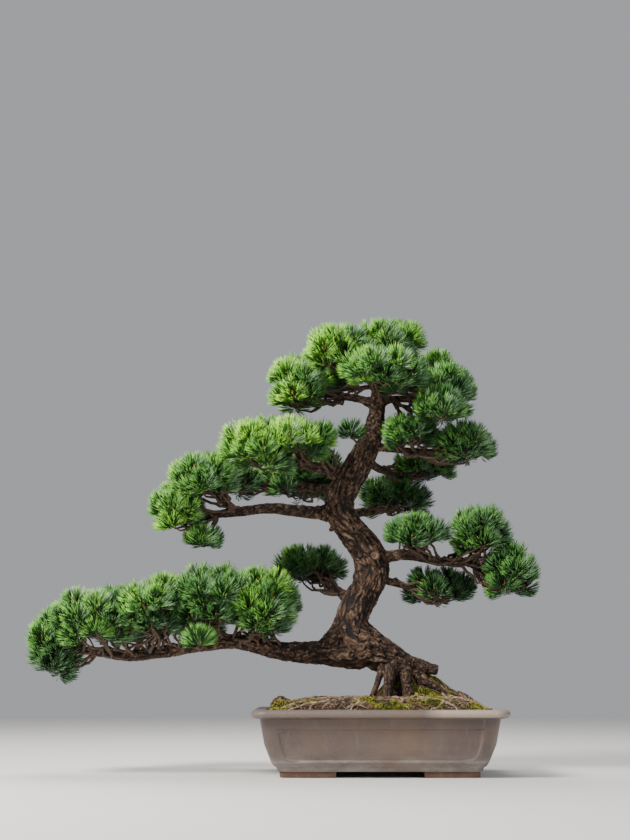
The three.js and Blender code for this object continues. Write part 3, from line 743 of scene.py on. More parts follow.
def straightened(spots, lines):
    # each point in the coordinates of its nearest limb: across, forward, along, with the limb's radius
    whole = {key: np.concatenate([line[key] for line in lines])
             for key in ("centre", "radius", "ahead", "side", "front")}
    along = np.concatenate([line["along"] + 397.0 * i for i, line in enumerate(lines)])
    nearest = np.empty(len(spots), int)
    batch = 8000
    for start in range(0, len(spots), batch):
        part = spots[start:start + batch]
        far = np.linalg.norm(part[:, None, :] - whole["centre"][None], axis=2) - whole["radius"][None]
        nearest[start:start + batch] = far.argmin(axis=1)
    away = spots - whole["centre"][nearest]
    across, forward, rise = [
        np.einsum("ij,ij->i", away, whole[key][nearest]) for key in ("side", "front", "ahead")]
    return across, forward, along[nearest] + rise, whole["radius"][nearest]


def barkRelief(piece, lines, knots=()):
    shape = barkShape
    spots = spotsOf(piece)
    normals = cornersOf(piece, "normal")
    across, forward, along, radius = straightened(spots, lines)
    turn = along * shape["twist"]
    size = np.clip(radius / shape["thickLimb"], 0.5, 1.0)
    bend = shape["wander"] * np.array([
        0.65 * waves(spots / 19 + 5 * k, 11 + k) + 0.35 * waves(spots / 8 + 3 * k, 15 + k) for k in range(3)])
    a = (across * np.cos(turn) - forward * np.sin(turn) + bend[0]) / size
    b = (across * np.sin(turn) + forward * np.cos(turn) + bend[1]) / size
    far = (along + 2 * bend[2]) / size

    def woven(wide, long, salt):
        return waves(columns(a / wide, b / wide, far / long), salt)

    # furrows along, cracks across, and flakes in steps between them
    long = np.abs(woven(shape["furrowWide"], shape["furrowLong"], 3))
    cross = np.abs(woven(shape["crossWide"], shape["crossLong"], 5))
    furrow = 1 - smoothStep(0.02, shape["furrow"], long)
    crackShade = 1 - smoothStep(0.0, shape["crossCrack"], cross)
    bare = (1 - furrow) * (1 - 0.75 * crackShade)
    layer = 0.5 + 0.75 * woven(shape["crossWide"] * 1.1, shape["crossLong"] * 1.3, 7)
    layer = np.clip(layer, 0, 0.999) * shape["steps"]
    level = (np.floor(layer) + smoothStep(0.72, 0.95, layer % 1)) / shape["steps"]
    height = bare * (0.5 + 0.5 * level)
    ridges = woven(shape["ridgeWide"], shape["ridgeLong"], 41)
    flakes = waves(spots / shape["flakeSize"], 23)
    most = np.minimum(1.0, radius * shape["reliefShare"] / shape["relief"])
    offset = most * (shape["relief"] * (height - 0.62) + shape["ridge"] * ridges + shape["flake"] * flakes)
    tone = 0.14 + 0.40 * level + 0.24 * flakes + 0.12 * ridges + 0.26 * smoothStep(0.1, 0.5, long)
    tone = tone + 0.12 * waves(spots / 11, 61)
    # painted shade: the bare share drops in the hollows between flakes, darkening them
    bare = bare * (0.75 + 0.25 * smoothStep(-0.6, 0.1, flakes))
    for place, width, depth in knots:
        # a cut branch: a rolled collar round a flat face
        away = np.linalg.norm(spots - np.array(place), axis=1) / width
        collar = np.exp(-((away - 1.0) / 0.28) ** 2)
        face = 1 - smoothStep(0.72, 0.92, away)
        offset = offset * (1 - face * 0.85) + collar * depth - face * depth * 0.3
        tone = tone * (1 - face) + face * (0.80 + 0.14 * np.cos(away * 20))
        bare = bare * (1 - face) + face
    # moss on the upper sides near the soil
    damp = 1 - smoothStep(*shape["dampBelow"], spots[:, 2])
    mossy = waves(spots / 11, 71) + 0.3 * normals[:, 2] + 0.004 * (spots[:, 1] + 10)
    putSpots(piece, spots + normals * offset[:, None])
    # the second channel, the bare share, sets where painted shade darkens the furrows and cracks
    colours = np.clip(columns(tone, bare, damp * smoothStep(0.45, 0.75, mossy), 1), 0, 1)
    painted = piece.data.attributes.new("barkTone", "FLOAT_COLOR", "POINT")
    painted.data.foreach_set("color", colours.astype(np.float32).ravel())


def makeBark():
    look = Look("flakyBark", 0.92)
    painted = look.node("ShaderNodeAttribute", {}, attribute_name="barkTone")["Color"]
    tone, bare, mossy = look.node("ShaderNodeSeparateColor", {0: painted})
    lower = look.node("ShaderNodeMath", {0: tone, 1: 0.25}, operation="SUBTRACT")[0]
    grain = look.noise(260, 5, 0.7)
    wood = look.node("ShaderNodeMath", {0: grain, 1: 0.5, 2: lower}, operation="MULTIPLY_ADD")[0]
    colour = look.ramp(wood, barkTones["wood"])
    # painted shade: near black in the furrows and cracks, where the bark is least bare
    colour = look.mix(look.ramp(bare, [(0.05, 1.0), (0.75, 0.0)]), colour, barkTones["crackShade"])
    colour = look.mix(look.ramp(mossy, [(0.2, 0.0), (0.9, 0.8)]), colour, barkTones["moss"])
    return look.finish(colour, look.noise(480, 5, 0.75), 0.9, 0.0016)


barkMaterial = makeBark()
lines = {name: limbStations(points, max(24, round(Curve(points).length / 5)))
         for name, parent, points in boughs}
trunkLines = [limbStations(trunkShape["line"], 220)]
trunkLines += [limbStations(points, 24) for points in trunkShape["roots"]]


def makeTrunk():
    shape = trunkShape
    bars = [makeBar("trunk", shape["line"])]
    bars += [makeBar("root", points) for points in shape["roots"]]
    bars += [makeBar("snag", points) for points in shape["snags"]]
    bars += [makeCollar(points) for name, parent, points in boughs if parent == "trunk"]
    trunk = joined(bars, "trunk_bark")
    fuse(trunk, barkShape["trunkVoxel"], barkShape["trunkSmoothing"])
    barkRelief(trunk, trunkLines, shape["knots"])
    # the flat cut at ground level
    startEdit(trunk)
    bpy.ops.mesh.select_all(action="SELECT")
    bpy.ops.mesh.bisect(
        plane_co=(0, 0, groundCut * mm), plane_no=(0, 0, -1), clear_outer=True, use_fill=True)
    shadeSmooth(trunk)
    return handOver(trunk, "bark", "trunk", material=barkMaterial)


def makeBoughs():
    wood = joined([makeBar("bough", points) for name, parent, points in boughs], "bough_bark")
    fuse(wood, barkShape["boughVoxel"], barkShape["boughSmoothing"])
    barkRelief(wood, list(lines.values()))
    shadeSmooth(wood)
    return handOver(wood, "bark", *["bough_" + name for name in lines], material=barkMaterial)


trunkBark = makeTrunk()
print("trunk made,", len(trunkBark.data.polygons), "faces")
boughBark = makeBoughs()
print("boughs made,", len(boughBark.data.polygons), "faces")


# Growth rule of the masses: the same seeded places as the solids' tufts, then finer ones between them
growth = {
    "seed": 20,
    "mostTufts": 7,
    "candidates": 80,
    "spacing": 44,
    "farApart": 108,
    "outlineMargin": 33,
    "leastRoom": 7,
    "lowestPlace": -0.6,
    "innerShare": 0.35,
    "budRadius": 12,
    "budAir": 1,
    "squareness": 2.6,
    "tuftClearance": 13,
    "cellMargin": 0.4,
    "hubDrop": 0.5,
    "forkShare": 0.4,
    "hubPull": 0.3,
    "finerTufts": 15,  # in a mass of usual size
    "finerMost": 1.25,  # times that in the largest
    "finerSpacing": 25,
    "finerMargin": 27,
    "finerLowest": -0.8,
    "usualRoom": 78,  # mean half size of such a mass
    "trunkSteps": 36,
    "boughStep": 36,
    "fewestSteps": 3,
    "rootSteps": 4,
}
needleShape = {
    "count": 250,  # in a tuft
    "length": 42,
    "lengthVaries": 0.09,
    "halfWidth": 0.92,
    "fullest": 0.72,  # where along it a needle is widest
    "widest": 84,  # degrees from the tuft's axis, at its root
    "narrowest": 5,
    "budLength": 19,
    "curl": 0.30,  # how far a needle turns back towards the axis
    "inBundle": 5,
    "bundleTurn": 0.13,  # how far the needles of a bundle stand apart, round the axis and away from it
    "bundleSpread": 0.07,
    "unruly": 0.045,
    "lift": 1.05,
    "spreadOut": 0.52,
    "stray": 0.26,
    "overreach": 1.04,  # of the mass's own space
    "roundness": 2.35,
}
twigLook = {
    "sides": 6,
    "steps": 7,
    "wander": 0.085,
    "sag": 0.07,
    "stem": (4.4, 3.4),  # radius at its start, at its end
    "twig": (2.6, 1.7),
    "underThick": (4.2, 1.6),
    "underTwigs": 15,
    "inner": 0.7,  # share of the tufts, nearest first, that they reach for
    "underDrop": 9,
    "alongLimb": 105,
    "shortest": 25,
    "longest": 150,
}


def randomRun(seed):
    state = seed & 0xFFFFFFFF

    def step():
        nonlocal state
        state = (state + 0x6D2B79F5) & 0xFFFFFFFF
        mixed = ((state ^ (state >> 15)) * (1 | state)) & 0xFFFFFFFF
        mixed = ((mixed + (((mixed ^ (mixed >> 7)) * (61 | mixed)) & 0xFFFFFFFF)) ^ mixed) & 0xFFFFFFFF
        return ((mixed ^ (mixed >> 14)) & 0xFFFFFFFF) / 4294967296

    return step


coarse = {"trunk": Curve(trunkShape["line"]).stations(growth["trunkSteps"])}
for name, parent, points in boughs:
    curve = Curve(points)
    coarse[name] = curve.stations(
        max(growth["fewestSteps"], math.floor(curve.length / growth["boughStep"] + 0.5)))
coarseRoots = [Curve(points).stations(growth["rootSteps"]) for points in trunkShape["roots"]]
limbCentres, limbRadii = [np.concatenate(part) for part in zip(*coarse.values(), *coarseRoots)]


def airToLimbs(spot):
    return (np.linalg.norm(limbCentres - spot, axis=1) - limbRadii).min()


spaces = [{"name": name, "limb": limb, "along": along, "centre": np.array(centre, float),
           "half": np.array(half, float), "walls": []}
          for name, limb, along, centre, half in masses]
for space in spaces:
    # flat walls keep each mass to its own side of its neighbours
    for other in spaces:
        if other is space:
            continue
        away = other["centre"] - space["centre"]
        apart = np.linalg.norm(away)
        away = away / apart
        own = np.linalg.norm(away * space["half"])
        both = own + np.linalg.norm(away * other["half"])
        if apart <= both:
            shared = space["centre"] + away * (apart * own / both - growth["cellMargin"])
            space["walls"].append((away, away.dot(shared)))


def shareOf(space, spots, power):
    # below 1 inside the rounded space of a mass
    away = np.abs((spots - space["centre"]) / space["half"])
    return (away ** power).sum(axis=-1)


def inSpace(space, spot, margin):
    return shareOf(space, spot, growth["squareness"]) <= 1 and all(
        spot.dot(away) - level < -margin for away, level in space["walls"])


def tuftSpots(space, random):
    spots = []
    wanted = growth["finerTufts"] * min(
        growth["finerMost"], (space["half"].mean() / growth["usualRoom"]) ** 2)
    clear = growth["budRadius"] + growth["budAir"]
    finer = False
    while len(spots) < wanted:
        finer = finer or len(spots) == growth["mostTufts"]
        roomy = np.maximum(
            space["half"] - growth["finerMargin" if finer else "outlineMargin"], growth["leastRoom"])
        lowest = growth["finerLowest" if finer else "lowestPlace"]
        best, bestAir = None, 0
        for i in range(growth["candidates"]):
            height = lowest + (1 - lowest) * random()
            angle = 2 * math.pi * random()
            flat = math.sqrt(max(0, 1 - height * height))
            share = growth["innerShare"] + (1 - growth["innerShare"]) * math.sqrt(random())
            spot = space["centre"] + roomy * share * np.array(
                [flat * math.cos(angle), flat * math.sin(angle), height])
            air = min([growth["farApart"]] + [np.linalg.norm(other - spot) for other in spots])
            better = best is None or air > bestAir
            if better and inSpace(space, spot, clear) and airToLimbs(spot) > growth["tuftClearance"]:
                best, bestAir = spot, air
        if best is not None and bestAir >= growth["finerSpacing" if finer else "spacing"]:
            spots.append(best)
        elif finer:
            break
        else:
            finer = True
    return spots


def growMass(space, seed):
    # returns the twigs as (from, to, radius, radius) and the tufts as (spot, axis, mass)
    random = randomRun(seed)
    centres = coarse[space["limb"]][0]
    root = centres[math.floor(space["along"] * (len(centres) - 1) + 0.5)]
    hub = space["centre"].copy()
    hub[2] -= space["half"][2] * growth["hubDrop"]
    spots = sorted(tuftSpots(space, random), key=lambda spot: np.linalg.norm(spot - hub))
    look = twigLook
    twigs = [(root, hub, *look["stem"])]
    forks = [hub]
    tufts = []
    for spot in spots:
        fork = min(forks, key=lambda place: np.linalg.norm(place - spot)
                   + growth["hubPull"] * np.linalg.norm(place - hub))
        twigs.append((fork, spot, *look["twig"]))
        forks.append(fork + growth["forkShare"] * (spot - fork))
        lean = np.array([math.sin(12.9898 * spot[0] + 78.233 * spot[2]),
                         math.sin(39.3468 * spot[1] + 11.135 * spot[0]), 0])
        axis = (unit(spot - hub) * needleShape["spreadOut"] + np.array([0, 0, needleShape["lift"]])
                + needleShape["stray"] * lean)
        tufts.append((spot, unit(axis), space))
    # crooked side twigs that leave the limb near the stem and pass under the pad
    near = [centre for centre in centres if np.linalg.norm(centre - root) < look["alongLimb"]]
    for k in range(look["underTwigs"] if len(spots) > 4 else 2):
        start = near[int(random() * len(near))]
        end = spots[int(random() * len(spots) * look["inner"])] - np.array([0, 0, look["underDrop"]])
        if look["shortest"] < np.linalg.norm(end - start) < look["longest"]:
            twigs.append((start, end, *look["underThick"]))
    return twigs, tufts


# Needle shades: each spray takes one light, from deep shade to full sun, and its needles vary round it
needleTones = {
    "shade": [(0.011, 0.036, 0.011), (0.020, 0.070, 0.018), (0.032, 0.112, 0.026)],
    # painted light between shade and sun
    "halfLit": [(0.044, 0.142, 0.030), (0.074, 0.215, 0.038), (0.114, 0.300, 0.044), (0.160, 0.405, 0.048)],
    "sun": [(0.225, 0.505, 0.046), (0.325, 0.670, 0.056), (0.470, 0.860, 0.085)],
    # silver stripes, graded by the same painted light
    "silver": [(0.074, 0.160, 0.080), (0.145, 0.275, 0.140), (0.250, 0.425, 0.220), (0.385, 0.570, 0.310)],
}
tuftLook = {
    "light": 0.41,
    "fromHeight": 0.13,  # within its pad
    "fromFacing": 0.16,
    "sunFrom": (-0.50, -0.42, 0.76),
    "fromLeft": 0.07,
    "overTree": [  # weight, axis, start and length of a slow change of light, its least and its most
        (0.10, 2, 560, 340, -0.6, 1), (-0.10, 1, 0, 90, -0.3, 1.2), (-0.08, 0, -60, 260, -0.6, 0.8)],
    "spread": 0.10,
    "needleSpread": 0.09,
    "rootShade": 0.17,
    "silverShare": 0.55,
    # the first number shifts a pad's painted light, the second its share of silver
    "pads": {  # pads that stand out: lighter or darker, more or less silver
        "low_left_front": (0.12, 0.15), "low_left_heel": (0.06, 0.1), "low_left_inner": (0.02, 0.4),
        "low_left_middle": (0.01, 0.4), "low_left_outer": (0.03, 0.35), "low_left_tip": (0.0, 0.35),
        "middle_left_heel": (0.10, -0.25), "middle_left_crest": (0.10, -0.2), "middle_left_tip": (0.05, 0.15),
        "crown_left": (0.07, -0.3), "crown_top_left": (0.08, -0.25), "crown_front": (0.03, 0.3),
        "crown_right": (0.0, -0.2), "crown_right_front": (0.02, 0.25), "right_upper_inner": (-0.16, -0.1),
        "right_upper_tip": (-0.02, 0.2), "right_inner": (-0.10, 0.3), "right_crest": (0.04, 0.3),
        "right_tip": (0.04, 0.1), "right_hanging": (-0.05, -0.2), "little_by_trunk": (0.0, -0.5)},
}


def makeNeedleMaterial(name, colour):
    look = Look(name, 0.55)
    look.fill(look.shader["Base Color"], colour)
    look.fill(look.shader["Specular IOR Level"], 0.3)
    return look.material


needleMaterials = [makeNeedleMaterial(f"needle_{side}_{i + 1}", colour)
                   for side, colours in needleTones.items() for i, colour in enumerate(colours)]
silverCount = len(needleTones["silver"])
outsideCount = len(needleMaterials) - silverCount


def sprayLight(spot, axis, space, random):
    # how sunlit a tuft is, from 0 to 1, by where it stands
    look = tuftLook
    inPad = (spot - space["centre"]) / space["half"]
    light = look["light"] + look["fromHeight"] * inPad[2] - look["fromLeft"] * np.clip(inPad[0], -1, 1)
    light += look["fromFacing"] * (axis.dot(look["sunFrom"]) - 0.7) + random.normal(0, look["spread"])
    for weight, which, start, length, least, most in look["overTree"]:
        light += weight * np.clip((spot[which] - start) / length, least, most)
    return float(np.clip(light + look["pads"].get(space["name"], (0, 0))[0], 0.05, 0.95))


def squareTo(axis):
    side = unit(np.cross(axis, (0.3, 0.2, 0.9) if abs(axis[2]) < 0.8 else (1, 0.1, 0)))
    return side, np.cross(axis, side)


def tuftNeedles(spot, axis, space, random):
    # one tuft: where its needles start, their directions and lengths, how light they are, which are silver
    shape = needleShape
    count = shape["count"]
    side, front = squareTo(axis)
    together = shape["inBundle"]
    bundles = math.ceil(count / together)
    angle = np.repeat(random.uniform(0, 2 * math.pi, bundles), together)[:count]
    angle = angle + random.normal(0, shape["bundleTurn"], count)
    spread = np.repeat(np.sqrt(random.uniform(0, 1, bundles)), together)[:count]
    spread = np.clip(spread + random.normal(0, shape["bundleSpread"], count), 0, 1)
    lean = np.radians(shape["narrowest"] + (shape["widest"] - shape["narrowest"]) * spread)
    out = np.cos(angle)[:, None] * side + np.sin(angle)[:, None] * front
    after = lean * (1 - shape["curl"] * random.uniform(0.5, 1.2, count))
    jitter = random.normal(0, shape["unruly"], (count, 3))
    first = unit(np.cos(lean)[:, None] * axis + np.sin(lean)[:, None] * out + jitter)
    last = unit(np.cos(after)[:, None] * axis + np.sin(after)[:, None] * out + jitter * 1.5)
    # outer needles start lower on the shoot
    back = shape["budLength"] * (0.1 + 0.9 * spread * random.uniform(0.6, 1, count))
    root = spot - axis * back[:, None] + out * 1.6
    length = shape["length"] * (1 + shape["lengthVaries"] * random.uniform(-1, 1, count))
    for k in range(4):
        tip = root + (first * shape["fullest"] + last * (1 - shape["fullest"])) * length[:, None]
        over = shareOf(space, tip, shape["roundness"]) > shape["overreach"] ** shape["roundness"]
        length = np.where(over, length * 0.91, length)
    light = sprayLight(spot, axis, space, random)
    share = tuftLook["silverShare"] + tuftLook["pads"].get(space["name"], (0, 0))[1]
    silver = random.uniform() < share - 0.5 * (light - 0.5)
    lights = light + random.normal(0, tuftLook["needleSpread"], count)
    silvers = np.full(count, silver) ^ (random.uniform(0, 1, count) < 0.18)
    return root, first, last, out, length[:, None], lights, silvers


def spindles(root, first, last, out, length, random):
    # each needle as a slim three-sided spindle, widest past its middle, that turns towards its tuft's axis
    shape = needleShape
    middle = root + (first * 0.85 + last * 0.15) * length * shape["fullest"]
    tip = middle + (first * 0.15 + last * 0.85) * length * (1 - shape["fullest"])
    across = unit(np.cross(first, out))
    under = np.cross(first, across)
    under *= np.sign(-(under * out).sum(axis=1, keepdims=True) + 1e-9)
    spin = random.normal(0, 0.55, (len(root), 1))
    across, under = across * np.cos(spin) + under * np.sin(spin), under * np.cos(spin) - across * np.sin(spin)
    half = shape["halfWidth"] * random.uniform(0.85, 1.1, (len(root), 1))
    corners = np.stack([
        root, middle + (across - under * 0.5) * half, middle - (across + under * 0.5) * half,
        middle + under * half * 1.1, tip], axis=1).reshape(-1, 3)
    pattern = np.array([[0, 2, 1], [0, 3, 2], [0, 1, 3], [1, 2, 4], [2, 3, 4], [3, 1, 4]])
    flip = (np.cross(across, under) * first).sum(axis=1) < 0
    faces = np.where(flip[:, None, None], pattern[None, :, ::-1], pattern[None])
    return corners, (faces + 5 * np.arange(len(root))[:, None, None]).reshape(-1, 3)


def needleKinds(light, silver):
    # the material of each of a needle's six faces, by the tuft's painted light, with painted shade near its
    # root
    def outside(shift):
        return np.clip(((light + shift) * outsideCount).astype(int), 0, outsideCount - 1)

    pale = np.clip((light * 1.15 * silverCount).astype(int), 0, silverCount - 1) + outsideCount
    lower = outside(-tuftLook["rootShade"])
    inner, upper = np.where(silver, pale, outside(0.06)), np.where(silver, pale, outside(0.12))
    return np.stack([lower, inner, lower, outside(0.0), upper, outside(0.10)], axis=1).reshape(-1)


def needlesOf(tufts, seed):
    random = np.random.default_rng(seed)
    kept = [tuftNeedles(*tuft, random) for tuft in tufts]
    root, first, last, out, length, light, silver = [np.concatenate(part) for part in zip(*kept)]
    return *spindles(root, first, last, out, length, random), needleKinds(light, silver)


# Tubes: closed skins over rings of corners, for twigs, buds, thin roots and fallen needles
def ring(centre, side, front, radii, start=0.0):
    turn = start + np.arange(len(radii)) * 2 * math.pi / len(radii)
    return centre + (np.cos(turn)[:, None] * side + np.sin(turn)[:, None] * front) * radii[:, None]


def closedTubes(tubes):
    # corners and triangles of tubes, each given as its rings
    faces = []
    start = 0
    for rings in tubes:
        sides = len(rings[0])
        top = start + (len(rings) - 1) * sides
        for low in range(start, top, sides):
            for j in range(sides):
                a, b = low + j, low + (j + 1) % sides
                faces += [[a, b, b + sides], [a, b + sides, a + sides]]
        for j in range(1, sides - 1):
            faces += [[start, start + j + 1, start + j], [top, top + j, top + j + 1]]
        start = top + sides
    return np.concatenate([corners for rings in tubes for corners in rings]), np.array(faces)


def twigTubes(twigs, seed):
    # curved tapering twigs
    random = np.random.default_rng(seed)
    steps, wander = twigLook["steps"], twigLook["wander"]
    tubes = []
    for begin, end, thick, thin in twigs:
        reach = np.linalg.norm(end - begin)
        if reach < 1:
            continue
        ahead = (end - begin) / reach
        side = unit(np.cross(ahead, (0.2, 0.3, 0.93)))
        front = np.cross(ahead, side)
        bow = random.normal(0, wander * reach, 2)
        kink = random.normal(0, wander * 0.4 * reach, (steps + 1, 2))
        kink[[0, steps]] = 0
        rings = []
        for k in range(steps + 1):
            share = k / steps
            curve = 4 * share * (1 - share)
            centre = begin + (end - begin) * share - np.array([0, 0, twigLook["sag"] * reach]) * curve
            centre = centre + side * (bow[0] * curve + kink[k, 0]) + front * (bow[1] * curve + kink[k, 1])
            radii = (thick + (thin - thick) * share) * (1 + random.uniform(-0.14, 0.14, twigLook["sides"]))
            rings.append(ring(centre, side, front, radii))
        tubes.append(rings)
    return closedTubes(tubes)


budLook = {
    "length": 7,
    "radius": 2.9,
    "sides": 6,
    "scales": [  # along, wide
        (-1.35, 0.55), (-0.9, 1.05), (-0.45, 0.8), (-0.1, 1.0), (0.35, 0.7), (0.9, 0.12)],
}


def budTubes(tufts, seed):
    # scaly brown shoot ends at the heart of each tuft
    random = np.random.default_rng(seed)
    sides = budLook["sides"]
    tubes = []
    for spot, axis, space in tufts:
        side, front = squareTo(axis)
        size = random.uniform(0.8, 1.15)
        tubes.append([
            ring(spot + axis * along * budLook["length"] * size, side, front,
                 np.full(sides, wide * budLook["radius"] * size), (k % 2) * math.pi / sides)
            for k, (along, wide) in enumerate(budLook["scales"])])
    return closedTubes(tubes)


twigTones = {
    "twigBark": [(0.3, (0.022, 0.012, 0.008)), (0.5, (0.070, 0.040, 0.025)), (0.72, (0.170, 0.110, 0.070))],
    "budScales": [(0.3, (0.10, 0.035, 0.014)), (0.55, (0.24, 0.10, 0.036)), (0.75, (0.40, 0.22, 0.09))],
}


def makeTwigMaterial(name):
    look = Look(name, 0.85)
    return look.finish(look.ramp(look.noise(240, 5, 0.65), twigTones[name]), look.noise(520, 3), 0.6, 0.0008)


grown = [growMass(space, growth["seed"] + i) for i, space in enumerate(spaces)]
print("tufts placed,", sum(len(tufts) for twigs, tufts in grown))
allTwigs = [twig for twigs, tufts in grown for twig in twigs]
allTufts = [tuft for twigs, tufts in grown for tuft in tufts]
twigPiece = meshFromArrays("twigs", *twigTubes(allTwigs, 5), [makeTwigMaterial("twigBark")])
handOver(twigPiece, "bark")
budPiece = meshFromArrays("buds", *budTubes(allTufts, 6), [makeTwigMaterial("budScales")])
handOver(budPiece, "bark")
shadeSmooth(twigPiece)
print("twigs and buds made,", len(twigPiece.data.polygons) + len(budPiece.data.polygons), "faces")

# The needles, joined by pad, with at most 196000 faces to a piece
mostInPiece = 196000 // (needleShape["count"] * 6)
groups = [[]]
for i, (twigs, tufts) in enumerate(grown):
    if sum(len(grown[j][1]) for j in groups[-1]) + len(tufts) > mostInPiece:
        groups.append([])
    groups[-1].append(i)
for number, members in enumerate(groups):
    corners, faces, kinds = needlesOf([tuft for i in members for tuft in grown[i][1]], 40 + number)
    piece = meshFromArrays(f"needles_{number + 1}", corners, faces, needleMaterials, kinds)
    handOver(piece, "needles", *["needles_" + spaces[i]["name"] for i in members])
    print("needles", number + 1, "made,", len(faces), "faces")


# Soil: a flat-topped bed of grains, with mossy hills behind the legs of the trunk and at the left end
soilShape = {
    "edgeHeight": 129,
    "half": (226.4, 162.4),
    "corner": 24,
    "crest": (35, 0, 154),
    "squareness": 8,
    "steepness": 6,
    "hills": [  # middle, half size
        ((80, 32, 118), (95, 74, 86)), ((104, 20, 116), (118, 92, 62)), ((-203, -40, 116), (25, 110, 41))],
    "blend": 5,
    "cells": (214, 154),
    "lumps": [(26, 2.6), (10, 1.7), (4.2, 1.1), (2.3, 0.5)],  # size, height
    "depth": 30,
    "taper": (0.972, 0.962),
    "grains": 3600,
    "grainSize": (1.3, 3.4),
    "grainLean": 0.6,
    "grainShares": {"darkGrain": 0.42, "brownGrain": 0.28, "tanGrain": 0.2, "greyGrain": 0.1},
    "litter": 850,
    "litterLength": (24, 44),
    "litterThick": (0.7, 0.75, 0.35),  # radius at its start, middle and end
    "litterRise": (1.0, 4.0),
}
mossShape = {
    "patches": [  # x, y, half width, half depth
        (-212, -132, 34, 40), (-150, -122, 30, 16), (-18, -112, 40, 30), (22, -146, 50, 20),
        (104, -128, 46, 30), (96, -62, 62, 38), (206, -140, 34, 22), (84, 36, 84, 66),
        (-66, -34, 30, 20), (40, 128, 70, 26), (186, 84, 36, 44), (-206, 60, 20, 40)],
    "thickness": 3.0,
    "cushion": 7.0,
    "cushionSize": 12.5,
    "raggedness": 0.62,
    "fuzz": (3.6, 0.9),  # size, height
    "depth": 5,
    "sprigs": 17000,
    "sprigHeight": (1.4, 3.2),
    "sprigWidth": (1.2, 2.2),
    "sprigLean": 0.35,
    "sprigTones": (0.38, 0.62),  # from which shade they turn green, and gold
}


def onBed(x, y, margin=0.0):
    # pulls a point of the rectangle into the rounded outline
    half = np.array(soilShape["half"]) - margin
    straight = half - soilShape["corner"]
    spots = np.clip(columns(x, y), -half, half)
    over = np.abs(spots) - straight
    reach = np.linalg.norm(over, axis=1)
    pulled = over * (over.max(axis=1) / np.maximum(reach, 1e-6))[:, None]
    inCorner = (over > 0).all(axis=1)
    return np.where(inCorner[:, None], np.sign(spots) * (straight + pulled), spots)


def bedHeight(x, y):
    # the bed without its lumps, and how far out each point is
    shape = soilShape
    crestX, crestY, top = shape["crest"]
    out = 0
    for spot, middle, half in ((x, crestX, shape["half"][0]), (y, crestY, shape["half"][1])):
        reach = np.where(spot > middle, half - middle, half + middle)
        out = out + (np.abs(spot - middle) / reach) ** shape["squareness"]
    share = np.minimum(out ** (1 / shape["squareness"]), 1)
    bed = shape["edgeHeight"] + (top - shape["edgeHeight"]) * (1 - share ** shape["steepness"])
    for middle, half in shape["hills"]:
        flat = 1 - ((x - middle[0]) / half[0]) ** 2 - ((y - middle[1]) / half[1]) ** 2
        hill = middle[2] + half[2] * np.sqrt(np.maximum(flat, 0))
        near = np.clip(0.5 + (hill - bed) / (2 * shape["blend"]), 0, 1)
        bed = bed * (1 - near) + hill * near + shape["blend"] * near * (1 - near)
    return bed, share


def soilHeight(x, y):
    height, share = bedHeight(x, y)
    fade = 1 - share ** 12
    for k, (size, rise) in enumerate(soilShape["lumps"]):
        height = height + fade * rise * waves(columns(x / size, y / size, k * 3.7), 81 + k)
    return height


def mossShare(x, y):
    # over 0 where moss grows, up to 1 inside a patch
    best = np.full(len(x), -1.0)
    for middleX, middleY, wide, deep in mossShape["patches"]:
        best = np.maximum(best, 1 - np.hypot((x - middleX) / wide, (y - middleY) / deep))
    ragged = 0.6 * waves(columns(x / 15, y / 15, 2), 91) + 0.4 * waves(columns(x / 6, y / 6, 5), 92)
    return best + mossShape["raggedness"] * ragged


def cushionsAt(x, y):
    return np.abs(waves(columns(x, y, 4) / mossShape["cushionSize"], 94))


def mossLift(x, y):
    # moss grows in cushions, thinner at the edge of a patch
    thick = mossShape["thickness"] + mossShape["cushion"] * (cushionsAt(x, y) * 1.6 - 0.3)
    return thick * np.clip(mossShare(x, y) * 2.4, -0.4, 1)


def makeSheet(name, lift=None, wanted=None):
    # a fine grid laid over the bed, raised by lift and trimmed to where wanted holds; left in edit mode
    selectNone()
    bpy.ops.mesh.primitive_grid_add(
        x_subdivisions=soilShape["cells"][0], y_subdivisions=soilShape["cells"][1], size=2)
    sheet = bpy.context.object
    sheet.name = name
    x, y = onBed(*(cornersOf(sheet)[:, :2] * soilShape["half"]).T).T
    height = soilHeight(x, y)
    if lift:
        height = height + lift(x, y)
    putSpots(sheet, columns(x, y, height))
    startEdit(sheet)
    if wanted:
        keep = wanted(x, y)
        selectWhere(sheet, "faces", lambda face: not all(keep[corner.index] for corner in face.verts))
        bpy.ops.mesh.delete(type="FACE")
    return sheet


def closeBelow(sheet, depth, level=None):
    # a copy of the sheet, drawn down with walls round it, and flattened at a level if one is given
    bpy.ops.mesh.select_all(action="SELECT")
    bpy.ops.mesh.extrude_region_move(TRANSFORM_OT_translate={"value": (0, 0, -depth * mm)})
    if level:
        bpy.ops.transform.resize(value=(*soilShape["taper"], 0), center_override=atPot(0, 0, level))
    faceOutward()
    shadeSmooth(sheet)


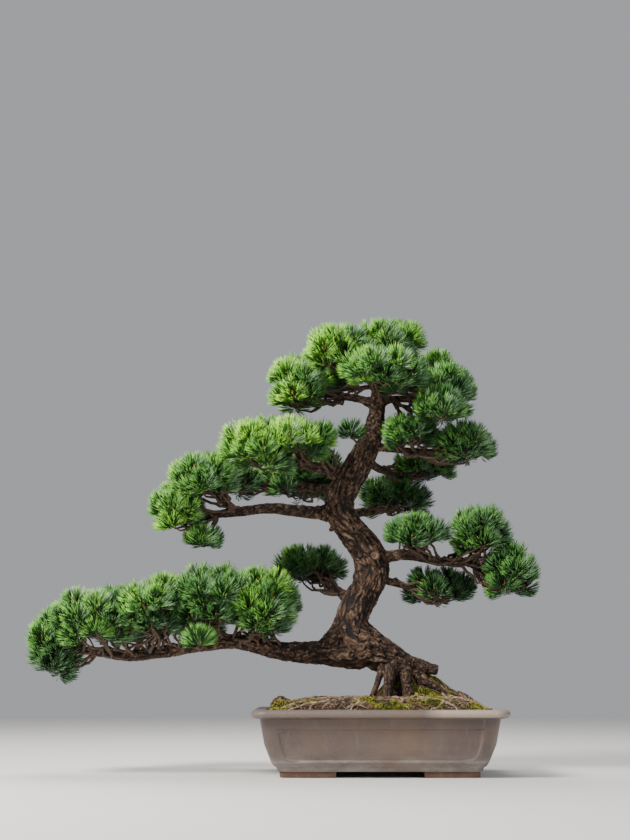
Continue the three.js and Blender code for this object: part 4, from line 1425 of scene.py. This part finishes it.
earthTones = {
    "dampEarth": [
        (0.36, (0.008, 0.005, 0.0035)), (0.52, (0.025, 0.016, 0.010)), (0.66, (0.080, 0.054, 0.034))],
    "cushionMoss": [
        (0.34, (0.012, 0.015, 0.002)), (0.48, (0.056, 0.064, 0.008)), (0.60, (0.16, 0.165, 0.018)),
        (0.72, (0.36, 0.32, 0.042))],
    "darkGrain": [(0.4, (0.016, 0.011, 0.008)), (0.6, (0.042, 0.028, 0.020))],
    "brownGrain": [(0.4, (0.055, 0.032, 0.020)), (0.6, (0.12, 0.075, 0.048))],
    "tanGrain": [(0.4, (0.13, 0.088, 0.055)), (0.6, (0.26, 0.19, 0.13))],
    "greyGrain": [(0.4, (0.12, 0.11, 0.10)), (0.6, (0.26, 0.24, 0.21))],
    "shadedMoss": [(0.4, (0.012, 0.018, 0.004)), (0.6, (0.030, 0.042, 0.007))],
    "greenMoss": [(0.4, (0.085, 0.105, 0.013)), (0.6, (0.15, 0.165, 0.019))],
    "goldMoss": [(0.4, (0.25, 0.23, 0.028)), (0.6, (0.42, 0.36, 0.055))],
    "rootSkin": [(0.32, (0.070, 0.036, 0.023)), (0.5, (0.23, 0.15, 0.10)), (0.66, (0.50, 0.39, 0.29))],
    "dryNeedle": [(0.35, (0.11, 0.055, 0.028)), (0.52, (0.25, 0.15, 0.080)), (0.68, (0.42, 0.30, 0.17))],
}


def makeEarth(name, scale=300):
    look = Look(name, 0.95)
    return look.finish(
        look.ramp(look.noise(scale, 5, 0.7), earthTones[name]), look.noise(800, 3, 0.7), 0.7, 0.001)


def makeMoss(name):
    look = Look(name, 0.95)
    patchy = look.ramp(look.noise(42, 4, 0.65), earthTones[name])
    fine = look.ramp(look.noise(620, 3, 0.7), [(0.35, 0.35), (0.62, 1.0)])
    look.fill(look.shader["Specular IOR Level"], 0.12)
    return look.finish(look.mix(1.0, patchy, fine, "MULTIPLY"), look.noise(900, 3, 0.7), 0.9, 0.0015)


soilBed = makeSheet("soil_bed")
closeBelow(soilBed, 1, soilShape["edgeHeight"] - soilShape["depth"])
handOver(soilBed, "earth", "soil", material=makeEarth("dampEarth"))

fuzzSize, fuzzHeight = mossShape["fuzz"]
mossCover = makeSheet(
    "moss_cover",
    lambda x, y: mossLift(x, y) + fuzzHeight * waves(columns(x / fuzzSize, y / fuzzSize, 0), 95),
    lambda x, y: mossShare(x, y) > 0)
closeBelow(mossCover, mossShape["depth"])
handOver(mossCover, "moss", "moss_left", "moss_middle", "moss_right", material=makeMoss("cushionMoss"))
print("soil and moss laid,", len(soilBed.data.polygons) + len(mossCover.data.polygons), "faces")


def scatter(count, random, wanted):
    # random places on the bed for which wanted(x, y) holds
    edge = 4
    x, y = [random.uniform(-1, 1, count * 3) * (half - edge) for half in soilShape["half"]]
    x, y = onBed(x, y, edge).T
    chosen = wanted(x, y)
    x, y = x[chosen][:count], y[chosen][:count]
    return columns(x, y, soilHeight(x, y))


def copiesOf(corners, faces, places, sizes, random, tilt):
    # one small shape laid at many places, each turned at random and leaning by up to tilt
    count = len(places)
    turn = random.uniform(0, 2 * math.pi, count)
    lean = random.normal(0, tilt, (count, 2))
    up = unit(columns(*lean.T, 1))
    side = columns(np.cos(turn), np.sin(turn), 0)
    side = unit(side - up * (side * up).sum(axis=1, keepdims=True))
    turned = np.stack([side, np.cross(up, side), up], axis=1)
    laid = np.einsum("ij,njk->nik", corners, turned * sizes[:, :, None]) + places[:, None, :]
    allFaces = faces[None] + len(corners) * np.arange(count)[:, None, None]
    return laid.reshape(-1, 3), allFaces.reshape(-1, 3)


def makeGrains():
    # rough fired-clay grains: small balls knocked out of round
    random = np.random.default_rng(71)
    selectNone()
    bpy.ops.mesh.primitive_ico_sphere_add(subdivisions=1, radius=1)
    ball = bpy.context.object
    ballCorners = cornersOf(ball) * random.uniform(0.75, 1.2, (12, 1))
    ballFaces = np.array([list(face.vertices) for face in ball.data.polygons])
    bpy.data.objects.remove(ball)
    places = scatter(soilShape["grains"], random, lambda x, y: mossShare(x, y) < 0.05)
    size = random.uniform(*soilShape["grainSize"], (len(places), 1))
    size = size * random.uniform(0.7, 1.2, (len(places), 3))
    corners, faces = copiesOf(ballCorners, ballFaces, places, size, random, soilShape["grainLean"])
    shares = soilShape["grainShares"]
    kinds = np.repeat(random.choice(len(shares), len(places), p=list(shares.values())), len(ballFaces))
    materials = [makeEarth(name) for name in shares]
    return handOver(meshFromArrays("soil_grains", corners, faces, materials, kinds), "earth")


def makeSprigs():
    # the moss's own shoots, as small upright spikes, with painted shade on those in the hollows
    random = np.random.default_rng(72)
    spikeCorners = np.array([[0.5, 0, -0.4], [-0.25, 0.43, -0.4], [-0.25, -0.43, -0.4], [0, 0, 1.0]])
    spikeFaces = np.array([[0, 1, 3], [1, 2, 3], [2, 0, 3], [0, 2, 1]])
    places = scatter(mossShape["sprigs"], random, lambda x, y: mossShare(x, y) > 0.03)
    x, y = places[:, 0], places[:, 1]
    places[:, 2] += mossLift(x, y) - 0.4
    tall = random.uniform(*mossShape["sprigHeight"], len(places))
    wide = random.uniform(*mossShape["sprigWidth"], len(places))
    corners, faces = copiesOf(
        spikeCorners, spikeFaces, places, columns(wide, wide, tall), random, mossShape["sprigLean"])
    # painted shade: sprigs in the hollows between cushions take the shaded moss
    shade = 0.18 + 1.5 * cushionsAt(x, y) + 0.25 * waves(places / 12, 96)
    shade = shade + random.normal(0, 0.12, len(places))
    kinds = np.repeat(np.digitize(shade, mossShape["sprigTones"]), len(spikeFaces))
    materials = [makeEarth(name) for name in ("shadedMoss", "greenMoss", "goldMoss")]
    return handOver(meshFromArrays("moss_sprigs", corners, faces, materials, kinds), "moss")


def ropesOf(paths, sides, random, bumpy):
    # tapering ropes along paths of points [x, y, z, radius]
    tubes = []
    for path in paths:
        ahead, side, front = framesAlong(path[:, :3], (0.2, 0.3, 0.93))
        tubes.append([
            ring(path[k, :3], side[k], front[k], path[k, 3] * (1 + bumpy * random.uniform(-1, 1, sides)))
            for k in range(len(path))])
    return closedTubes(tubes)


surfaceRoots = {
    "thick": (3.7, 1.9),  # radius at the trunk, at the far end
    "step": 6,
    "sunk": 0.05,
    "wander": 3.5,
    "rise": 1.6,
    "sides": 7,
    "bumpy": 0.12,
    "placed": [  # points on the bed, from the thick end
        [(-34, -56), (-62, -84), (-92, -122), (-118, -152)],
        [(-36, -60), (-48, -100), (-44, -140), (-60, -158)],
        [(-60, -84), (-112, -100), (-168, -128), (-216, -150)],
        [(-20, -30), (-90, -64), (-150, -96), (-182, -146)],
        [(26, -66), (8, -104), (-24, -128), (-66, -152)],
        [(30, -70), (48, -112), (44, -146), (60, -158)],
        [(68, -52), (96, -98), (132, -132), (158, -156)],
        [(150, -42), (176, -76), (190, -120), (214, -146)],
        [(150, -40), (196, -58), (222, -96), (222, -134)],
        [(120, -60), (150, -104), (120, -144), (96, -160)],
        [(-130, -60), (-170, -76), (-204, -104), (-220, -128)],
        [(-100, -130), (-140, -142), (-178, -152), (-206, -156)]],
    "strayCount": 26,
    "strayLength": (70, 190),
    "strayThick": (1.6, 3.4, 1.0),  # least and most at the start, at the far end
}


def rootPath(points, thick, random):
    shape = surfaceRoots
    flat = Curve([[x, y, 0, 1] for x, y in points])
    spots = flat.stations(max(4, round(flat.length / shape["step"])))[0][:, :2]
    salt = int(random.integers(1, 999))
    for axis in range(2):
        spots[:, axis] += shape["wander"] * waves(columns(*spots.T / 14, salt + axis * 9.3), 33)
    x, y = onBed(*spots.T, 3).T
    radius = np.linspace(*thick, len(x)) * random.uniform(0.85, 1.15, len(x))
    rise = shape["rise"] * waves(columns(x / 20, y / 20, salt), 34)
    height = bedHeight(x, y)[0] + radius * (1 - shape["sunk"]) + rise
    height[-1] -= thick[1] * 3
    return columns(x, y, height, radius)


def makeSurfaceRoots():
    shape = surfaceRoots
    random = np.random.default_rng(73)
    paths = [rootPath(points, shape["thick"], random) for points in shape["placed"]]
    thinnest, thickest, end = shape["strayThick"]
    for i in range(shape["strayCount"]):
        angle = random.uniform(0, 2 * math.pi)
        near = random.uniform(0.2, 0.75)
        x, y = 30 + 190 * near * math.cos(angle), 140 * near * math.sin(angle)
        heading = angle + random.normal(0, 0.9)
        reach = random.uniform(*shape["strayLength"])
        points = [(x, y)]
        for k in range(3):
            heading += random.normal(0, 0.45)
            x, y = x + reach / 3 * math.cos(heading), y + reach / 3 * math.sin(heading)
            points.append((float(np.clip(x, -218, 218)), float(np.clip(y, -154, 154))))
        if min(math.dist(a, b) for a, b in zip(points, points[1:])) > 6:
            paths.append(rootPath(points, (random.uniform(thinnest, thickest), end), random))
    corners, faces = ropesOf(paths, shape["sides"], random, shape["bumpy"])
    piece = meshFromArrays("surface_roots", corners, faces, [makeEarth("rootSkin", 150)])
    shadeSmooth(piece)
    return handOver(piece, "bark")


def makeLitter():
    # dry needles fallen on the bed
    random = np.random.default_rng(74)
    paths = []
    for place in scatter(soilShape["litter"], random, lambda x, y: mossShare(x, y) < 0.45):
        angle = random.uniform(0, 2 * math.pi)
        reach = random.uniform(*soilShape["litterLength"]) / 2
        points = []
        for along in (-reach, 0, reach):
            x = place[0] + along * math.cos(angle) + random.normal(0, 1)
            y = place[1] + along * math.sin(angle) + random.normal(0, 1)
            points.append((x, y))
        x, y = onBed(*np.array(points).T, 3).T
        height = bedHeight(x, y)[0] + random.uniform(*soilShape["litterRise"])
        paths.append(columns(x, y, height, soilShape["litterThick"]))
    piece = meshFromArrays("fallen_needles", *ropesOf(paths, 3, random, 0), [makeEarth("dryNeedle", 30)])
    return handOver(piece, "earth")


for piece in (makeGrains(), makeSprigs(), makeSurfaceRoots(), makeLitter()):
    print(piece.name, "made,", len(piece.data.polygons), "faces")


# Studio: a plain pale floor under an even sky, and soft lights
studio = {
    "floorSize": (12, 9, 0),
    "floorColour": (0.74, 0.73, 0.71),
    "skyColour": (0.93, 0.95, 1.0),
    "sky": 0.42,
    "lamps": {  # name: (place, aimed at, size, watts, colour)
        "key": ((-1.7, -1.5, 2.3), (0.0, 0.0, 0.55), 1.0, 170, (1.0, 0.97, 0.9)),
        "fill": ((2.4, -2.4, 1.2), (0.05, 0.0, 0.45), 2.2, 20, (0.92, 0.96, 1.0)),
        "top": ((-0.2, 0.9, 2.6), (0.0, 0.0, 0.5), 1.6, 55, (1.0, 0.98, 0.94)),
    },
}
selectNone()
bpy.ops.mesh.primitive_plane_add(size=1, location=(0, 0, -0.0005))
floor = bpy.context.object
floor.name = "floor"
floor.dimensions = studio["floorSize"]
settle(floor)
paleFloor = Look("paleFloor", 0.9)
paleFloor.fill(paleFloor.shader["Base Color"], studio["floorColour"])
floor.data.materials.append(paleFloor.material)

world = bpy.data.worlds.new("studioSky")
world.use_nodes = True
sky = world.node_tree.nodes["Background"].inputs
sky["Color"].default_value = (*studio["skyColour"], 1)
sky["Strength"].default_value = studio["sky"]
scene.world = world

for name, (place, target, size, watts, colour) in studio["lamps"].items():
    lampData = bpy.data.lights.new(name, "AREA")
    lampData.size = size
    lampData.energy = watts
    lampData.color = colour
    lamp = bpy.data.objects.new(name, lampData)
    lamp.location = place
    lamp.rotation_euler = (Vector(target) - Vector(place)).to_track_quat("-Z", "Y").to_euler()
    scene.collection.objects.link(lamp)
print("studio lit")
